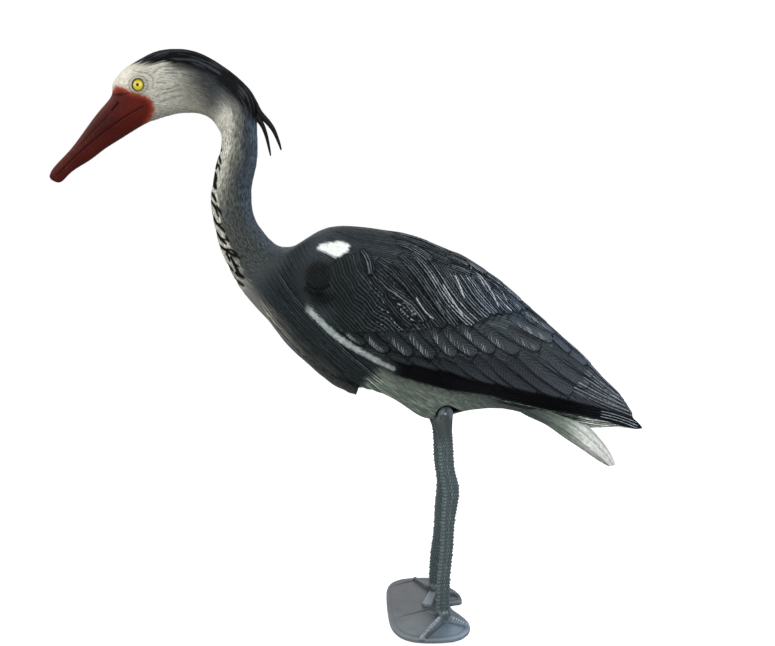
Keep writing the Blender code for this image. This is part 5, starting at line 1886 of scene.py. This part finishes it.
def eye_material():
    """Yellow iris with fibres, darker rings outward, and a black pupil."""
    nodes = Nodes("eye_gloss")
    x, y, _ = nodes.split(nodes.attribute("v_eye"))
    radius = nodes.math("SQRT", nodes.plus(nodes.mul(x, x), nodes.mul(y, y)))
    angle = nodes.math("ARCTAN2", y, x)
    fibres = nodes.noise(nodes.join(nodes.mul(angle, 6.0), nodes.mul(radius, 0.4), 0.0))
    colour = nodes.mix(fibres, rgb(232, 212, 42), rgb(176, 158, 30))

    def ring(**stops):
        return nodes.ramp(nodes.math("DIVIDE", radius, 7.5), **stops)

    for start, end, tint in (
        (0.55, 0.80, rgb(150, 134, 30)), (0.83, 0.87, rgb(64, 58, 24)),
        (0.90, 0.93, rgb(150, 142, 118)),
    ):
        colour = nodes.mix(ring(start=start, end=end), colour, tint)
    pupil = ring(start=0.21, end=0.25, low=1.0, high=0.0)
    nodes.surface("Base Color", nodes.mix(pupil, colour, (0.004, 0.004, 0.004)))
    nodes.surface("Roughness", 0.3)
    nodes.surface("Specular IOR Level", 0.3)
    nodes.surface("Coat Weight", 0.35)
    nodes.surface("Coat Roughness", 0.12)
    return nodes.material


# ------------------------------------------------------------------ build
def dress(obj, material, rides, node):
    """Give a finished piece its material and its place in the frame."""
    obj.data.materials.clear()
    obj.data.materials.append(material)
    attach(obj, rides)
    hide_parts(node)


shells = build_shells()
plumage = plumage_material()
for shell, node in zip(shells, ("left_shell", "right_shell")):
    dress(shell, plumage, "bird", node)

eye_gloss = eye_material()
for side, node in ((1, "left_eye"), (-1, "right_eye")):
    dress(build_eye(side, "glass_" + node), eye_gloss, "bird", node)


def plume_relief(angle, part):
    """Seven lengthwise flutes that twist and fade towards the tip."""
    return 0.10 * math.cos(7 * angle + 2 * part) * (1 - 0.4 * part) - 0.06


crest_black = moulded("crest_black", rgb(11, 11, 13), rough=0.45, spec=0.12, speck=0.4,
                      bump=0.00008, scale=900.0)
for name, path in (("plume_upper", PLUME_UPPER), ("plume_lower", PLUME_LOWER)):
    plume = tube(name, path, 40, relief=plume_relief)
    dress(plume, crest_black, "bird", "crest_" + name)

# bluish light edges: worn paint with a painted highlight
leg_grey = moulded("leg_grey", rough=0.44, speck=0.28, bump=0.00010, scale=700.0,
                   wear=rgb(150, 166, 176))
for side, node in ((1, "left_leg"), (-1, "right_leg")):
    dress(build_leg(side, "scaled_" + node), leg_grey, node, node)

# bluish light edges: worn paint with a painted highlight
base_grey = moulded("base_grey", rough=0.42, speck=0.3, bump=0.00016, scale=420.0,
                    wear=rgb(170, 184, 194))
dress(build_base("footed_base"), base_grey, "base", "base_plate")

# pieces of the frame that keep their own shape
carrier_nylon = moulded("carrier_nylon", rgb(52, 55, 56), speck=0.3)
pin_steel = moulded("pin_steel", (0.55, 0.55, 0.56), rough=0.3, speck=0.15, metallic=1.0,
                    bump=0.00002, scale=2500.0)
bush_acetal = moulded("bush_acetal", rgb(214, 212, 204), rough=0.4, speck=0.1)
for node, material, slot in (
    ("leg_carrier", carrier_nylon, "carrier"), ("hinge_pin", pin_steel, "pin"),
    ("left_hinge_bush", bush_acetal, "bush"), ("right_hinge_bush", bush_acetal, "bush"),
):
    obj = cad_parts[node]
    # a piece may come with or without slots of its own
    if obj.material_slots:
        for material_slot in obj.material_slots:
            material_slot.material = material
    else:
        obj.data.materials.append(material)


# ------------------------------------------------------------------ stage, in metres
def link_object(name, data):
    obj = bpy.data.objects.new(name, data)
    bpy.context.scene.collection.objects.link(obj)
    return obj


def aim(obj, direction):
    obj.rotation_mode = "QUATERNION"
    obj.rotation_quaternion = Vector(direction).to_track_quat("-Z", "Y")


def build_floor():
    """Pale floor that glows to the camera only."""
    nodes = Nodes("stage_pale")
    nodes.surface("Base Color", (0.62, 0.63, 0.64))
    nodes.surface("Roughness", 0.9)
    nodes.surface("Specular IOR Level", 0.0)
    nodes.surface("Emission Color", (1, 1, 1))
    seen = nodes.node("ShaderNodeLightPath").outputs["Is Camera Ray"]
    nodes.surface("Emission Strength", nodes.mul(seen, 0.88))
    # low enough that the released foot base does not sink into it as it travels
    half, z = 8, -0.022
    corners = [(-half, -half, z), (half, -half, z), (half, half, z), (-half, half, z)]
    mesh = bpy.data.meshes.new("stage_floor")
    mesh.from_pydata(corners, [], [(0, 1, 2, 3)])
    floor = link_object("stage_floor", mesh)
    mesh.materials.append(nodes.material)


def area(name, place, target, size, power, colour=(1, 1, 1)):
    light = bpy.data.lights.new(name, "AREA")
    light.shape = "RECTANGLE"
    light.size, light.size_y = size
    light.energy = power
    light.color = colour
    obj = link_object(name, light)
    obj.location = place
    aim(obj, Vector(target) - Vector(place))


def build_world():
    """Dim cool light on the bird, plain white behind it."""
    world = bpy.data.worlds.new("studio")
    bpy.context.scene.world = world
    world.use_nodes = True
    nodes, links = world.node_tree.nodes, world.node_tree.links
    ambient = nodes["Background"]
    ambient.inputs["Color"].default_value = (0.93, 0.96, 1.0, 1)
    ambient.inputs["Strength"].default_value = 0.30
    backdrop = nodes.new("ShaderNodeBackground")
    backdrop.inputs["Color"].default_value = (1, 1, 1, 1)
    backdrop.inputs["Strength"].default_value = 1.0
    path, mixer = nodes.new("ShaderNodeLightPath"), nodes.new("ShaderNodeMixShader")
    links.new(path.outputs["Is Camera Ray"], mixer.inputs[0])
    links.new(ambient.outputs[0], mixer.inputs[1])
    links.new(backdrop.outputs[0], mixer.inputs[2])
    links.new(mixer.outputs[0], nodes["World Output"].inputs[0])


def build_camera():
    """Looks at the bird's left side, turned slightly to the rear."""
    data = bpy.data.cameras.new("camera")
    data.lens, data.sensor_width = 29.96, 36.0
    camera = link_object("camera", data)
    camera.location = (0.7701, -0.0978, 0.343)
    yaw = math.radians(2.8)
    aim(camera, (-math.cos(yaw), math.sin(yaw), 0))
    bpy.context.scene.camera = camera


build_floor()
area("key_top", place=(0.45, 0.6, 1.9), target=(0, -0.02, 0.42), size=(0.7, 0.6), power=15,
     colour=(0.95, 0.98, 1.0))
area("front_fill", place=(1.9, -0.6, 1.1), target=(0, -0.1, 0.4), size=(1.0, 1.0), power=20,
     colour=(1.0, 0.99, 0.97))
area("bill_side", place=(0.6, -1.9, 1.3), target=(0, -0.3, 0.5), size=(1.0, 1.0), power=14)
area("rear_rim", place=(0.9, 1.5, 0.7), target=(0, 0.1, 0.4), size=(0.8, 1.0), power=9,
     colour=(0.80, 0.89, 1.0))
area("far_fill", place=(-1.7, -0.2, 1.0), target=(0, 0, 0.4), size=(1.4, 1.4), power=8)
build_world()
build_camera()
bpy.context.scene.view_settings.view_transform = "Standard"
